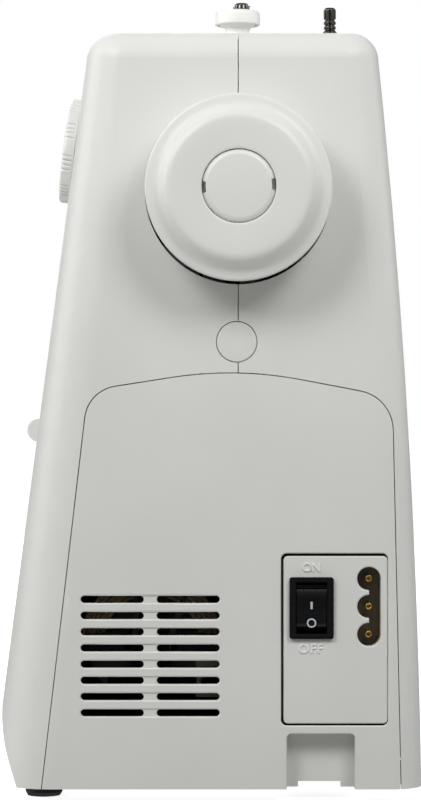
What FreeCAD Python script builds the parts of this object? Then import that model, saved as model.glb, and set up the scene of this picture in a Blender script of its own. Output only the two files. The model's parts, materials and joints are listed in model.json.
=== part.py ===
import FreeCAD, Part
import math
import os
import re
import Sketcher

# A free-arm household sewing machine, in millimetres.
# +X is the handwheel end, -Y the side that faces the user, +Z up.
# The origin is on the table, below the middle of the whole machine.

DIMENSIONS = {
    # casing
    "end_face": 172, "pillar_left": 44, "top_level": 304, "bed_level": 78, "foot_height": 2.4, "stand": 3,
    "wall": 2.5, "thin_wall": 2.2, "parting": 0.35, "seam": 11,
    "slope_front": -88.6, "slope_rate": 0.1329, "rear_low": 84.6, "rear_middle": 78.2, "rear_top": 66.3,
    "middle_level": 165, "bed_taper": 0.0387,
    "arm_front": -46, "arm_rear": 62, "arm_under": 196, "head_left": -185, "head_right": -92,
    "head_under": 150, "face_split": -150,
    # free arm, bed and extension table
    "arm_tip": -196, "free_front": -32, "free_rear": 44, "free_under": 34, "bed_left": -20,
    "table_left": -200, "table_under": 6.6, "base_thickness": 3,
    "lid_hinge_y": -78.85, "lid_hinge_level": 17.4,
    # shafts and bars
    "shaft_level": 240, "lower_level": 48, "needle_line": -124, "presser_line": 29,
    "shaft_radius": 5, "lower_radius": 4, "bar_radius": 3.5, "running_gap": 0.05,
    "stroke": 30, "crank_left": -108, "crank_radius": 20, "bush_wall": 3,
    "frame_front": 36, "frame_rear": 44,
    # belts
    "drive_belt_left": 160, "drive_belt_right": 165, "drive_radius": 28, "motor_radius": 5,
    "timing_left": 60.5, "timing_right": 67.5, "timing_radius": 14,
    "motor_y": -24, "motor_level": 58,
    # handwheel
    "wheel_radius": 36.7, "wheel_face": 200, "wheel_inner": 173, "hub_radius": 14, "knob_radius": 13.9,
    # dials and levers on the front
    "dial_level": 259.3, "pattern_line": 128, "pattern_radius": 21.5, "length_line": 80,
    "length_radius": 18, "dial_depth": 5.4, "tension_line": -108, "tension_level": 262,
    "reverse_pivot_y": -40, "reverse_pivot_level": 150,
    # thread winding on the top
    "winder_line": 113, "stopper_line": 136, "winder_pivot_y": 40, "spindle_y": 13,
    "spool_line": 110, "spool_y": 50,
    # electrical end panel
    "panel_front": 28, "panel_rear": 70.5, "panel_low": 27.7, "panel_high": 96.1,
    "switch_y": 40.1, "switch_level": 74.45, "rocker_pivot": 168.5, "inlet_y": 62.95,
    "inlet_low": 63.8, "inlet_pitch": 11.1, "cap_y": 10.4, "cap_level": 180.1, "cap_radius": 8,
    # ventilation slots
    "vent_top": 77.8, "vent_pitch": 6.44, "vent_height": 3, "vent_left": -51.6, "vent_inner_left": -26.5,
    "vent_inner_right": -21.4, "vent_right": 3.65,
    # hook, needle plate and presser foot
    "hook_y": -8, "hook_radius": 18, "plate_split": 3.8, "plate_thickness": 2, "sole_level": 79.2,
    # carrying handle
    "handle_left": -75, "handle_right": 5, "handle_y": 69, "handle_level": 282,
}

V = FreeCAD.Vector
TURN = {
    "x": FreeCAD.Rotation(V(0, 1, 0), 90),
    "y": FreeCAD.Rotation(V(1, 0, 0), -90),
    "z": FreeCAD.Rotation(),
}
WORD = re.compile(r"[a-z][a-z_]*")

doc = FreeCAD.newDocument("sewing_machine")
dims = doc.addObject("Spreadsheet::Sheet", "dims")
for row, (alias, size) in enumerate(DIMENSIONS.items(), 1):
    dims.set(f"A{row}", alias)
    dims.set(f"B{row}", str(size))
    dims.setAlias(f"B{row}", alias)
doc.recompute()

parts = {}


# ---------------------------------------------------------------- document helpers

def bind(item, prop, formula):
    """Tie a property to a formula of the sheet's cells."""
    def cell(word):
        return "dims." + word.group() if word.group() in DIMENSIONS else word.group()
    item.setExpression(prop, WORD.sub(cell, str(formula)))


def settle(item, axis, corner):
    item.Placement = FreeCAD.Placement(V(), TURN[axis])
    for letter, formula in zip("xyz", corner):
        bind(item, "Placement.Base." + letter, formula)


def box(name, x, y, z):
    """Box between two values on each axis."""
    item = doc.addObject("Part::Box", name)
    for prop, (low, high) in zip(("Length", "Width", "Height"), (x, y, z)):
        bind(item, prop, f"({high}) - ({low})")
    settle(item, "z", (x[0], y[0], z[0]))
    return item


def rod(name, axis, across, span, radius):
    """Cylinder along an axis; across holds its two other coordinates."""
    item = doc.addObject("Part::Cylinder", name)
    bind(item, "Radius", radius)
    bind(item, "Height", f"({span[1]}) - ({span[0]})")
    corner = list(across)
    corner.insert("xyz".index(axis), span[0])
    settle(item, axis, corner)
    return item


def join(name, *items):
    fused = doc.addObject("Part::MultiFuse", name)
    fused.Shapes = list(items)
    return fused


def cut(name, base, *tools):
    """Base less all of the tools."""
    result = doc.addObject("Part::Cut", name)
    result.Base = base
    result.Tool = tools[0] if len(tools) == 1 else join(name + "_tools", *tools)
    return result


def tube(name, axis, across, span, outer, inner):
    return cut(name, rod(name + "_outer", axis, across, span, outer),
               rod(name + "_inner", axis, across, span, inner))


def rounded(name, base, radius, chosen):
    """Fillet on the edges that the test chosen(edge) picks."""
    doc.recompute()
    result = doc.addObject("Part::Fillet", name)
    result.Base = base
    edges = enumerate(base.Shape.Edges, 1)
    result.Edges = [(number, radius, radius) for number, edge in edges if chosen(edge)]
    return result


def turned(name, axis, across, profile):
    """Revolved body; profile holds (radius, position on the axis) corners."""
    body = doc.addObject("PartDesign::Body", name)
    sketch = body.newObject("Sketcher::SketchObject", name + "_profile")
    plane = next(o for o in body.Origin.OriginFeatures if o.Role == "XZ_Plane")
    sketch.AttachmentSupport = [(plane, "")]
    sketch.MapMode = "FlatFace"
    count = len(profile)
    start = [V(20 + 9 * math.cos(math.tau * i / count), 9 * math.sin(math.tau * i / count), 0)
             for i in range(count)]
    sketch.addGeometry([Part.LineSegment(start[i - 1], start[i]) for i in range(count)], False)
    for i in range(count):
        sketch.addConstraint(Sketcher.Constraint("Coincident", i - 1 if i else count - 1, 2, i, 1))
    for i, (radius, height) in enumerate(profile):
        for kind, formula, now in (("DistanceX", radius, start[i].x), ("DistanceY", height, start[i].y)):
            number = sketch.addConstraint(Sketcher.Constraint(kind, -1, 1, i, 2, now))
            sketch.renameConstraint(number, f"{kind}{i}")
            bind(sketch, f"Constraints.{kind}{i}", formula)
    spin = body.newObject("PartDesign::Revolution", name + "_turned")
    spin.Profile = sketch
    spin.ReferenceAxis = (sketch, ["V_Axis"])
    spin.Angle = 360
    corner = list(across)
    corner.insert("xyz".index(axis), "0")
    settle(body, axis, corner)
    return body


def part(label, item):
    """Register a finished piece under its own label, raised by the height of the feet."""
    level = dict(item.ExpressionEngine).get(".Placement.Base.z", item.Placement.Base.z)
    item.setExpression(".Placement.Base.z", f"{level} + dims.stand")
    item.Label = label
    parts[label] = item
    return item


def feature(label, shape):
    """Piece whose shape is made below from the sheet's values."""
    item = doc.addObject("Part::Feature", label)
    item.Shape = shape
    item.Placement = shape.Placement
    return part(label, item)


# ---------------------------------------------------------------- shape helpers

def outline(corners, place):
    """Closed wire through (a, b, radius) corners; place maps (a, b) into space."""
    count = len(corners)
    stops = []
    for i, (a, b, radius) in enumerate(corners):
        corner = V(a, b, 0)
        back = (V(*corners[i - 1][:2], 0) - corner).normalize()
        ahead = (V(*corners[(i + 1) % count][:2], 0) - corner).normalize()
        if radius <= 0:
            stops.append((corner, None, corner))
            continue
        half = back.getAngle(ahead) / 2
        inward = (back + ahead).normalize()
        reach = radius / math.tan(half)
        middle = corner + inward * (radius / math.sin(half) - radius)
        stops.append((corner + back * reach, middle, corner + ahead * reach))
    edges = []
    for i, (first, middle, last) in enumerate(stops):
        if middle is not None:
            points = [place(p.x, p.y) for p in (first, middle, last)]
            edges.append(Part.Arc(*points).toShape())
        following = stops[(i + 1) % count][0]
        if (following - last).Length > 1e-6:
            edges.append(Part.makeLine(place(last.x, last.y), place(following.x, following.y)))
    return Part.Wire(edges)


def along_x(corners, low, high):
    """Prism along X of a (y, z, radius) outline."""
    wire = outline(corners, lambda y, z: V(low, y, z))
    return Part.Face(wire).extrude(V(high - low, 0, 0))


def along_y(corners, low, high):
    wire = outline(corners, lambda x, z: V(x, low, z))
    return Part.Face(wire).extrude(V(0, high - low, 0))


def along_z(corners, low, high):
    wire = outline(corners, lambda x, y: V(x, y, low))
    return Part.Face(wire).extrude(V(0, 0, high - low))


def slab(x, y, z):
    return Part.makeBox(x[1] - x[0], y[1] - y[0], z[1] - z[0], V(x[0], y[0], z[0]))


def round_bar(axis, across, span, radius):
    corner = list(across)
    corner.insert("xyz".index(axis), span[0])
    direction = {"x": V(1, 0, 0), "y": V(0, 1, 0), "z": V(0, 0, 1)}[axis]
    return Part.makeCylinder(radius, span[1] - span[0], V(*corner), direction)


def rect(a, b, radius):
    """Rounded rectangle as an outline, a and b being (low, high)."""
    return [(a[0], b[0], radius), (a[1], b[0], radius), (a[1], b[1], radius), (a[0], b[1], radius)]


def front_at(level):
    """Front face of the pillar at a height."""
    return dims.slope_front + dims.slope_rate * (level - dims.foot_height)


def hem_prism(inset, bottom, top, span, hem_front, bulge_level, radius):
    """Everything behind the sloping front and the hem that turns in below its bulge."""
    bulge_front = front_at(bulge_level) - 0.25
    lean = (hem_front - bulge_front) / (bulge_level - dims.foot_height)
    hem = hem_front + lean * (dims.foot_height - bottom)
    corners = [(hem + inset, bottom, 0), (bulge_front + inset, bulge_level, radius),
               (front_at(top) + inset - 0.15, top, 0), (100, top, 0), (100, bottom, 0)]
    return along_x(corners, *span)


# ---------------------------------------------------------------- casing

def pillar(inset):
    """Leaning pillar, lofted through three rounded sections."""
    base, top = dims.foot_height, dims.top_level
    sections = []
    table = (
        (base, dims.rear_low, 26, 12, 20, 12),
        (dims.middle_level, dims.rear_middle, 20, 12.5, 17, 12.5),
        (top, dims.rear_top, 15, 13, 14, 13),
    )
    for level, rear, front_right, rear_right, front_left, rear_left in table:
        height = level
        if inset:
            height -= 8 if level == base else inset if level == top else 0
        left, right, front = dims.pillar_left + inset, dims.end_face - inset, front_at(height) + inset
        corners = [(left, front, front_left - inset), (right, front, front_right - inset),
                   (right, rear - inset, rear_right - inset), (left, rear - inset, rear_left - inset)]
        sections.append(outline(corners, lambda x, y, height=height: V(x, y, height)))
    solid = Part.makeLoft(sections, True, False)
    rim = top - inset
    edges = [e for e in solid.Edges if e.BoundBox.ZMin > rim - 0.01]
    solid = solid.makeFillet(11 - inset, edges)
    return solid.common(hem_prism(inset, -10 if inset else base, top + 5, (0, 300), -77.4, 26.5, 63))


def arm(inset):
    """Arm and head as one rounded L."""
    top, under, root = dims.top_level - inset, dims.arm_under + inset, 70
    left, right, bottom = dims.head_left + inset, dims.head_right - inset, dims.head_under + inset
    front, rear = dims.arm_front + inset, dims.arm_rear - inset
    corners = [(root, top, 0), (left, top, 0), (left, bottom, 0), (right, bottom, 0),
               (right, under, 14 + inset), (root, under, 0)]
    solid = along_y(corners, front, rear)

    def upright(edge):
        bounds = edge.BoundBox
        return bounds.XMax < left + 0.01 and bounds.ZLength > 50
    solid = solid.makeFillet(30 - inset, [e for e in solid.Edges if upright(e)])

    def upper(edge):
        bounds = edge.BoundBox
        return bounds.ZMin > top - 0.01 and bounds.XMin < 60
    solid = solid.makeFillet(13 - inset, [e for e in solid.Edges if upper(e)])

    def lower(edge):
        bounds = edge.BoundBox
        if bounds.XMin > 60:
            return False
        on_bottom = bounds.ZMax < bottom + 0.01
        on_side = bounds.YLength < 0.01 and (bounds.YMin < front + 0.01 or bounds.YMax > rear - 0.01)
        return on_bottom or (on_side and bounds.XMin > right - 1 and bounds.ZMax < top - 20)
    return solid.makeFillet(7 - inset, [e for e in solid.Edges if lower(e)])


def side_outline(margin):
    """Arched outline of the lower end panel, grown by a margin."""
    return [(-67.9 - margin, -5, 0), (-48.5 - margin, 160.6 + margin, 14 + margin),
            (10.2, 169.8 + margin, 150), (72.2 + margin, 158 + margin, 16 + margin),
            (75.7 + margin, -5, 0)]


def eased(solid, face, size, chosen):
    """Chamfer along the chosen edges that lie in the plane at X = face."""
    flat = [edge for edge in solid.Edges if abs(edge.BoundBox.XMin - face) < 0.01
            and abs(edge.BoundBox.XMax - face) < 0.01 and chosen(edge.BoundBox)]
    return solid.makeChamfer(size, flat)


def make_casing():
    """Front, rear, face and side covers, split from one hollow shell."""
    seam, gap, split = dims.seam, dims.parting / 2, dims.face_split
    shell = pillar(0).fuse(arm(0)).removeSplitter().cut(pillar(dims.wall).fuse(arm(dims.wall)))
    end, arm_front = dims.end_face, dims.arm_front
    level = dims.shaft_level
    holes = [
        round_bar("x", (seam, level), (end - 8, end + 4), dims.wheel_radius + 0.4),
        round_bar("x", (dims.cap_y, dims.cap_level), (end - 8, end + 4), dims.cap_radius + 0.25),
        slab((dims.pillar_left - 5, dims.pillar_left + 26), (-61, 61), (-2, dims.bed_level - 2.5)),
        along_z(rect((109, 122), (dims.spindle_y - 4, dims.spindle_y + 4), 3.9),
                dims.top_level - 8, dims.top_level + 4),
        round_bar("z", (dims.spool_line, dims.spool_y), (dims.top_level - 8, dims.top_level + 4), 2.9),
        slab((-142, -106), (-2, 40), (dims.head_under - 2, dims.head_under + 4)),
        slab((-130, -118), (dims.arm_rear - 5, dims.arm_rear + 4), (160, 196)),
        along_x(rect((arm_front - 4, arm_front + 5), (214, 277), 2), -141.5, -134.5),
        round_bar("y", (dims.tension_line, dims.tension_level), (arm_front - 4, arm_front + 5), 3.5),
        slab((97.2, 126.8), (-80, -60), (124, 151)),
    ]
    for line in (dims.pattern_line, dims.length_line):
        holes.append(tilted_rod(line, -6, 6, 4.6))
    shell = shell.cut(holes)

    panel = along_x(side_outline(0), end - 20, end + 5)
    around = along_x(side_outline(dims.parting), end - 20, end + 5)
    side = shell.common(panel)
    rest = shell.cut(around)
    far = 400
    front = rest.common(slab((split + gap, far), (-far, seam - gap), (-far, far)))
    rear = rest.common(slab((split + gap, far), (seam + gap, far), (-far, far)))
    face = rest.common(slab((-far, split - gap), (-far, far), (-far, far)))
    feature("front_cover", front)
    make_rear_cover(rear)
    make_face_cover(face)
    make_side_cover(side)


def make_rear_cover(shell):
    """Rear half, with hinge knuckles, the winder's pivot and the end screw's cup."""
    split, rear = dims.face_split, dims.arm_rear
    lugs = []
    for low in (170, 262):
        lugs.append(round_bar("z", (split, rear), (low, low + 6), 2.6))
        lugs.append(round_bar("z", (split, rear), (low + 6, low + 12), 1.2))
    boss = round_bar("z", (dims.winder_line, dims.winder_pivot_y), (290, dims.top_level - 2), 3)
    cleared = shell.cut([round_bar("z", (split, rear), (low + 6, low + 13.4), 3.2) for low in (170, 262)])
    feature("rear_cover", cleared.fuse(lugs + [boss, screw_cup()]))
    make_handle_lugs()


def make_handle_lugs():
    """Two lugs on the rear cover that hold the ends of the carrying handle."""
    rear, handle_y, level = dims.arm_rear, dims.handle_y, dims.handle_level
    lugs = []
    for left in (dims.handle_left + 9, dims.handle_right - 17):
        corners = [(rear, level - 9, 0), (rear, level + 7, 0),
                   (handle_y + 5, level + 5, 5), (handle_y + 5, level - 5, 5)]
        lug = along_x(corners, left, left + 8)
        lugs.append(lug.cut(round_bar("x", (handle_y, level), (left - 1, left + 9), 3.1)))
    feature("handle_lugs", Part.makeCompound(lugs))


def screw_cup():
    """Cup behind the round cap, seating the end screw's head and reaching to the frame's boss."""
    end, axis, radius = dims.end_face, (dims.cap_y, dims.cap_level), dims.cap_radius
    cup = round_bar("x", axis, (end - 8.4, end - 2.6), radius + 1.8)
    rim = round_bar("x", axis, (end - 2.6, end - 1), radius + 1.8)
    rim = rim.common(slab((end - 5, end), (dims.seam + 0.5, 40), (100, 250)))
    stem = round_bar("x", axis, (end - 15, end - 8.4), 4)
    room = [round_bar("x", axis, (end - 6.4, end), radius + 0.25), round_bar("x", axis, (end - 20, end), 2.1)]
    return cup.fuse([rim, stem]).cut(room)


def make_face_cover(shell):
    """Left end of the head, on a vertical hinge at its rear edge, open below for the lamp."""
    split, rear = dims.face_split, dims.arm_rear
    window = along_z(rect((-178, -155), (-15, 36), 4), dims.head_under - 2, dims.head_under + 5)
    knuckles = [round_bar("z", (split, rear), (low + 6.4, low + 13), 2.6) for low in (170, 262)]
    bores = [round_bar("z", (split, rear), (low + 5, low + 14), 1.25) for low in (170, 262)]
    clearances = [round_bar("z", (split, rear), (low - 0.4, low + 6.2), 3.2) for low in (170, 262)]
    feature("face_cover", shell.cut([window] + clearances).fuse(knuckles).cut(bores))


def make_side_cover(shell):
    """Arched lower end panel with the ventilation slots, panel opening and lead notch."""
    end = dims.end_face
    vents = []
    for row in range(8):
        level = dims.vent_top - row * dims.vent_pitch
        height = (level - dims.vent_height / 2, level + dims.vent_height / 2)
        radius = dims.vent_height / 2
        for span in ((dims.vent_left, dims.vent_inner_left), (dims.vent_inner_right, dims.vent_right)):
            vents.append(along_x(rect(span, height, radius), end - 5, end + 2))
        vents.append(along_x(rect((dims.vent_left, dims.vent_right), height, radius), end - 0.6, end + 2))
    opening = along_x(rect((dims.panel_front, dims.panel_rear), (dims.panel_low, dims.panel_high), 2.3),
                      end - 5, end + 2)
    low, high = dims.foot_height, 26.3
    pocket = along_x([(28.5, low, 0), (59.2, low, 0), (59.2, high, 3), (28.5, high, 3)], end - 10, end - 0.4)
    notch = along_x([(30.3, low - 2, 0), (57.4, low - 2, 0), (57.4, 24.5, 2), (30.3, 24.5, 2)],
                    end - 8.2, end + 2)
    slot = slab((end - 11, end - 7), (35, 52), (low - 2, low + 2.2))
    cover = shell.fuse(pocket).cut(vents + [opening, notch, slot])
    feature("side_cover", eased(cover, end, 0.4, lambda edge: edge.ZMax < 98 and (
        edge.YMin > dims.vent_left - 1 and edge.YMax < dims.vent_right + 1 and edge.ZMin > 25
        or edge.YMin > dims.panel_front - 1 and edge.YMax < dims.panel_rear + 1)))


def tilted_rod(line, outside, inside, radius):
    """Cylinder square to the sloping front, from outside to inside its surface."""
    slope = math.atan(dims.slope_rate)
    inward = V(0, math.cos(slope), -math.sin(slope))
    foot = V(line, front_at(dims.dial_level), dims.dial_level)
    return Part.makeCylinder(radius, inside - outside, foot + inward * outside, inward)


def bed_body(inset, span, levels, corner, edge=0):
    """Block of the bed: straight sides lofted between two levels, then the rounded hem at the front."""
    left, right = span[0] + inset, span[1] - inset
    sections = []
    for level in levels:
        front = front_at(level) + inset
        rear = dims.rear_low - dims.bed_taper * (level - dims.foot_height) - inset
        corners = [(left, front, corner), (right, front, 0), (right, rear, 0), (left, rear, corner)]
        sections.append(outline(corners, lambda x, y, level=level: V(x, y, level)))
    solid = Part.makeLoft(sections, True, True)
    if edge:
        top = levels[1] - 0.01
        solid = solid.makeFillet(edge, [e for e in solid.Edges if e.BoundBox.ZMin > top
                                        and e.BoundBox.XMin < right - 1])
    return solid.common(hem_prism(inset, levels[0] - 5, levels[1] + 5, (left - 5, right + 5), -76.5, 36, 40))


def make_bed_cover():
    """Bed block and free arm as one shell, open below the bed and towards the pillar."""
    t = dims.thin_wall
    top, low = dims.bed_level, dims.foot_height
    left, right = dims.bed_left, dims.pillar_left - 0.3
    block = bed_body(0, (left, right), (low, top), 0, 3)
    hollow = bed_body(t, (left, right + 10), (low - 5, top - t), 0)
    tip, front, rear, under = dims.arm_tip, dims.free_front, dims.free_rear, dims.free_under
    sleeve = along_x([(front, under, 8), (rear, under, 8), (rear, top, 3), (front, top, 3)], tip, 0)
    plan = along_z([(tip, front, 12), (tip, rear, 12), (10, rear, 0), (10, front, 0)], 0, 100)
    bore = along_x([(front + t, under + t, 6), (rear - t, under + t, 6), (rear - t, top - t, 1),
                    (front + t, top - t, 1)], tip + t, 5)
    inner_plan = along_z([(tip + t, front + t, 10), (tip + t, rear - t, 10), (10, rear - t, 0),
                          (10, front + t, 0)], 0, 100)
    sleeve = sleeve.common(plan).cut(bore.common(inner_plan))
    sleeve = sleeve.common(slab((tip - 1, left + t / 2), (front - 1, rear + 1), (under - 1, top + 1)))
    doorway = slab((left - 1, left + t + 1), (front + t + 0.5, rear - t - 0.5),
                   (under + t + 0.5, top - t - 0.5))
    shell = block.cut(hollow).cut(doorway).fuse(sleeve)
    well = slab((-158.4, -91.6), (dims.plate_split - 0.2, 39.4), (top - 5, top + 2))
    mouth = slab((-150.4, -97.6), (-28.3, dims.plate_split + 1), (top - 5, top + 2))
    passage = slab((left - 3, left + 5), (-61, 61), (0, 6.5))
    feature("bed_cover", shell.cut([well, mouth, passage]))


def make_extension_table():
    """U-shaped table round the free arm, with a storage tray behind a front lid."""
    t = dims.thin_wall
    left, right = dims.table_left, dims.bed_left - 0.4
    under, top = dims.table_under, dims.bed_level

    outer = bed_body(0, (left, right), (under, top), 18, 3)
    tip, front, rear = dims.arm_tip - 0.8, dims.free_front - 0.8, dims.free_rear + 0.8
    pocket = along_z([(tip, front, 12.5), (tip, rear, 12.5), (0, rear, 0), (0, front, 0)], 0, 100)
    around = slab((left - 1, 0), (front - t, rear + t), (0, 100))
    hollow = bed_body(t, (left, right), (under + t, top - t), 15.8).cut(around)
    table = outer.cut([pocket, hollow])
    low, high = 16.2, 68
    grown = slab((-172.4, -35.6), (-95, -70), (low - 0.7, high + 0.4))
    lid = table.common(slab((-172, -36), (-95, -70), (low, high)))
    grip = round_bar("y", (-104, high + 3), (-95, -70), 9).common(grown)
    hinge = (dims.lid_hinge_y, dims.lid_hinge_level)
    pins = [round_bar("x", hinge, span, 0.9) for span in ((-174.5, -171), (-37, -33.5))]
    holes = [round_bar("x", hinge, span, 0.95) for span in ((-175, -172), (-36, -33))]
    feature("extension_table", table.cut([grown] + holes))
    feature("accessory_lid", lid.cut(grip).fuse(pins))


# ---------------------------------------------------------------- base and frame

def make_base():
    low, high = "foot_height", "foot_height + base_thickness"
    plate = join("base_sheet", box("base_right", ("54", "159"), ("-73.5", "80"), (low, high)),
                 box("base_left", ("-190", "60"), ("-60", "60"), (low, high)))

    def corner(edge):
        return edge.BoundBox.ZLength > 1 and edge.BoundBox.XLength < 0.01 and (
            edge.BoundBox.XMin > 150 or edge.BoundBox.XMin < -180)
    trimmed = cut("base_trimmed", plate, box("lead_recess", ("145", "165"), ("33", "54"), ("-1", "12")))
    part("base_plate", rounded("base_plate", trimmed, 8, corner))
    feet = []
    for x, y in (("148", "-67.5"), ("118", "68"), ("-176", "-46"), ("-176", "46")):
        profile = [("0", "-stand"), ("6.6", "-stand"), ("7.5", "1.5 - stand"), ("7.5", low), ("0", low)]
        feet.append(turned("foot", "z", (x, y), profile))
    part("rubber_feet", join("rubber_feet", *feet))


def make_arm_frame():
    """Cast upper frame: backbone, column, shaft lugs, bar guides and the front mechanism plate."""
    front, rear = "frame_front", "frame_rear"
    shaft = ("seam", "shaft_level")
    pieces = [
        box("backbone", ("-172", "150"), (front, rear), ("206", "262")),
        box("column", ("78", "118"), (front, rear), ("6", "262")),
        box("column_foot", ("70", "126"), ("22", "64"), ("6", "12")),
        box("left_lug", ("-92", "-82"), ("-2", front), ("shaft_level - 13", "shaft_level + 13")),
        box("right_lug", ("134", "144"), ("-2", front), ("shaft_level - 13", "shaft_level + 13")),
        box("upper_guide", ("-133", "-116.6"), ("3", front), ("220", "230")),
        box("lower_guide", ("-133", "-113"), ("3", rear), ("154", "166")),
        box("head_post", ("-133", "-113"), ("38", rear), ("154", "210")),
        box("lever_cheek", ("-117.5", "-113"), (front, "56"), ("160", "183")),
        rod("lever_pin", "x", ("50", "175"), ("-129.5", "-117"), "2.5"),
        box("take_up_lug", ("-150", "-143"), ("0", front), ("238", "252")),
        rod("take_up_pin", "x", ("8", "245"), ("-143.5", "-134"), "3"),
        box("mechanism_plate", ("56", "140"), ("-24", "-20"), ("130", "282")),
        box("upper_spacer", ("84", "94"), ("-20", front), ("266", "276")),
        box("lower_spacer", ("84", "94"), ("-20", front), ("150", "160")),
        box("spacer_post", ("84", "94"), (front, rear), ("256", "276")),
        box("end_post", ("138", "150"), (front, rear), ("172", "210")),
        box("end_boss", ("138", "157"), ("4", front), ("174", "187")),
        box("reverse_cheek_left", ("92", "96"), ("-46", "-24"), ("142", "158")),
        box("reverse_cheek_right", ("128", "132"), ("-46", "-24"), ("142", "158")),
        rod("reverse_pin", "x", ("reverse_pivot_y", "reverse_pivot_level"), ("92", "132"), "2.5"),
    ]
    bores = [
        rod("main_bore", "x", shaft, ("-96", "150"), "shaft_radius + running_gap + bush_wall"),
        rod("end_screw_hole", "x", ("cap_y", "cap_level"), ("147", "158"), "2"),
    ]
    for name, y in (("needle", "seam"), ("presser", "presser_line")):
        across = ("needle_line", y)
        bores.append(rod(name + "_bore", "z", across, ("150", "236"), "bar_radius + running_gap + 1.5"))
    frame = cut("arm_casting", join("arm_solid", *pieces), *bores)
    doc.recompute()
    dial_holes = [tilted_rod(line, 20, 50, 4.4) for line in (dims.pattern_line, dims.length_line)]
    feature("arm_frame", frame.Shape.cut(dial_holes).removeSplitter())


def make_bed_frame():
    """Cast lower frame: rail, end wall on the base, bush lugs, hook arm and needle-plate posts."""
    level = "lower_level"
    pieces = [
        box("rail", ("-160", "56"), ("20", "26"), ("38", "60")),
        box("end_wall", ("46", "56"), ("0", "34"), ("6", "72")),
        box("middle_lug", ("-60", "-50"), ("0", "22"), (f"{level} - 11", f"{level} + 11")),
        box("tip_lug", ("-150", "-140"), ("0", "22"), (f"{level} - 9", f"{level} + 9")),
        box("hook_arm", ("-134", "-114"), ("-17", "26"), ("57.2", "60.5")),
        box("left_post", ("-158", "-151"), ("12", "38"), ("38", "bed_level - plate_thickness")),
        box("right_post", ("-98", "-92"), ("12", "27"), ("38", "bed_level - plate_thickness")),
    ]
    bores = [
        rod("lower_bore", "x", ("seam", level), ("-155", "60"), "lower_radius + running_gap + bush_wall"),
        rod("hook_bore", "z", ("needle_line", "hook_y"), ("50", "64"), "3.05 + 1.5"),
        rod("left_screw_hole", "z", ("-154", "33"), ("69", "80"), "1.5"),
        rod("right_screw_hole", "z", ("-96", "20"), ("69", "80"), "1.5"),
    ]
    part("bed_frame", cut("bed_frame", join("bed_solid", *pieces), *bores))


def make_bushes():
    """Plain bearing bushes of both shafts, both bars and the hook."""
    group = []
    main = ("shaft_radius + running_gap + bush_wall", "shaft_radius + running_gap")
    lower = ("lower_radius + running_gap + bush_wall", "lower_radius + running_gap")
    bar = ("bar_radius + running_gap + 1.5", "bar_radius + running_gap")
    for span in (("-94", "-80"), ("132", "146")):
        group.append(tube("main_bush", "x", ("seam", "shaft_level"), span, *main))
    for span in (("-151", "-139"), ("-61", "-49"), ("45", "57")):
        group.append(tube("lower_bush", "x", ("seam", "lower_level"), span, *lower))
    for y in ("seam", "presser_line"):
        for span in (("153", "167"), ("219", "231")):
            group.append(tube("bar_bush", "z", ("needle_line", y), span, *bar))
    group.append(tube("hook_bush", "z", ("needle_line", "hook_y"), ("57.2", "60.5"), "4.55", "3.05"))
    part("bushes", join("bushes", *group))


# ---------------------------------------------------------------- drive

def make_main_shaft():
    shaft = ("seam", "shaft_level")
    long_rod = rod("main_rod", "x", shaft, ("crank_left + 8", "190"), "shaft_radius")
    part("main_shaft", join("main_shaft", long_rod, rod("winder_disc", "x", shaft, ("125.5", "129.5"), "24")))
    pin = ("seam", "shaft_level + stroke / 2")
    part("crank_disc", join("crank_disc", rod("crank_web", "x", shaft, ("crank_left", "crank_left + 8"),
                                              "crank_radius"),
                            rod("crank_pin", "x", pin, ("crank_left - 8", "crank_left"), "3")))
    part("upper_timing_pulley", timing_pulley("upper_timing_pulley", "shaft_level", "shaft_radius"))
    left, right = "drive_belt_left", "drive_belt_right"
    part("drive_pulley", turned("drive_pulley", "x", shaft, [
        ("shaft_radius", f"{left} - 2"), ("drive_radius + 3", f"{left} - 2"),
        ("drive_radius + 3", f"{left} - 0.6"), ("drive_radius", left), ("drive_radius", right),
        ("drive_radius + 3", f"{right} + 0.6"), ("drive_radius + 3", f"{right} + 2"),
        ("shaft_radius", f"{right} + 2")]))
    part("handwheel", turned("handwheel", "x", shaft, [
        ("shaft_radius", "167.2"), ("hub_radius", "167.2"), ("hub_radius", "180"), ("30", "182"),
        ("31.5", "wheel_inner"), ("34.6", "wheel_inner"), ("36.2", "178.5"), ("wheel_radius", "185"),
        ("36.2", "190"), ("34.2", "194.6"), ("30.6", "198"), ("26", "199.7"), ("20", "wheel_face"),
        ("knob_radius + 0.5", "wheel_face - 0.9"), ("knob_radius + 0.5", "192"), ("shaft_radius", "192")]))
    knob = turned("knob_blank", "x", shaft, [
        ("0", "192.4"), ("knob_radius", "192.4"), ("knob_radius", "wheel_face - 1.4"),
        ("knob_radius - 1.2", "wheel_face - 0.5"), ("0", "wheel_face")])
    height = ("shaft_level - 2.3", "shaft_level + 2.3")
    notches = [box("knob_notch", ("196", "202"), (f"seam {side}", f"seam {side} + 2"), height)
               for side in ("- knob_radius - 1.2", "+ knob_radius - 0.8")]
    part("clutch_knob", cut("clutch_knob", knob, *notches))


def timing_pulley(name, level, bore):
    left, right = "timing_left", "timing_right"
    rim, root = "timing_radius + 2.2", "timing_radius"
    return turned(name, "x", ("seam", level), [
        (bore, f"{left} - 1.5"), (rim, f"{left} - 1.5"), (rim, left), (root, left), (root, right),
        (rim, right), (rim, f"{right} + 1.5"), (bore, f"{right} + 1.5")])


def make_lower_shaft():
    line = ("seam", "lower_level")
    shaft = rod("lower_rod", "x", line, ("-153", "72"), "lower_radius")
    gear = toothed(rod("lower_blank", "x", line, ("-130", "-118"), "8.4"), "lower_teeth", 12)
    part("lower_shaft", join("lower_shaft", shaft, gear))
    part("lower_timing_pulley", timing_pulley("lower_timing_pulley", "lower_level", "lower_radius"))


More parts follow.
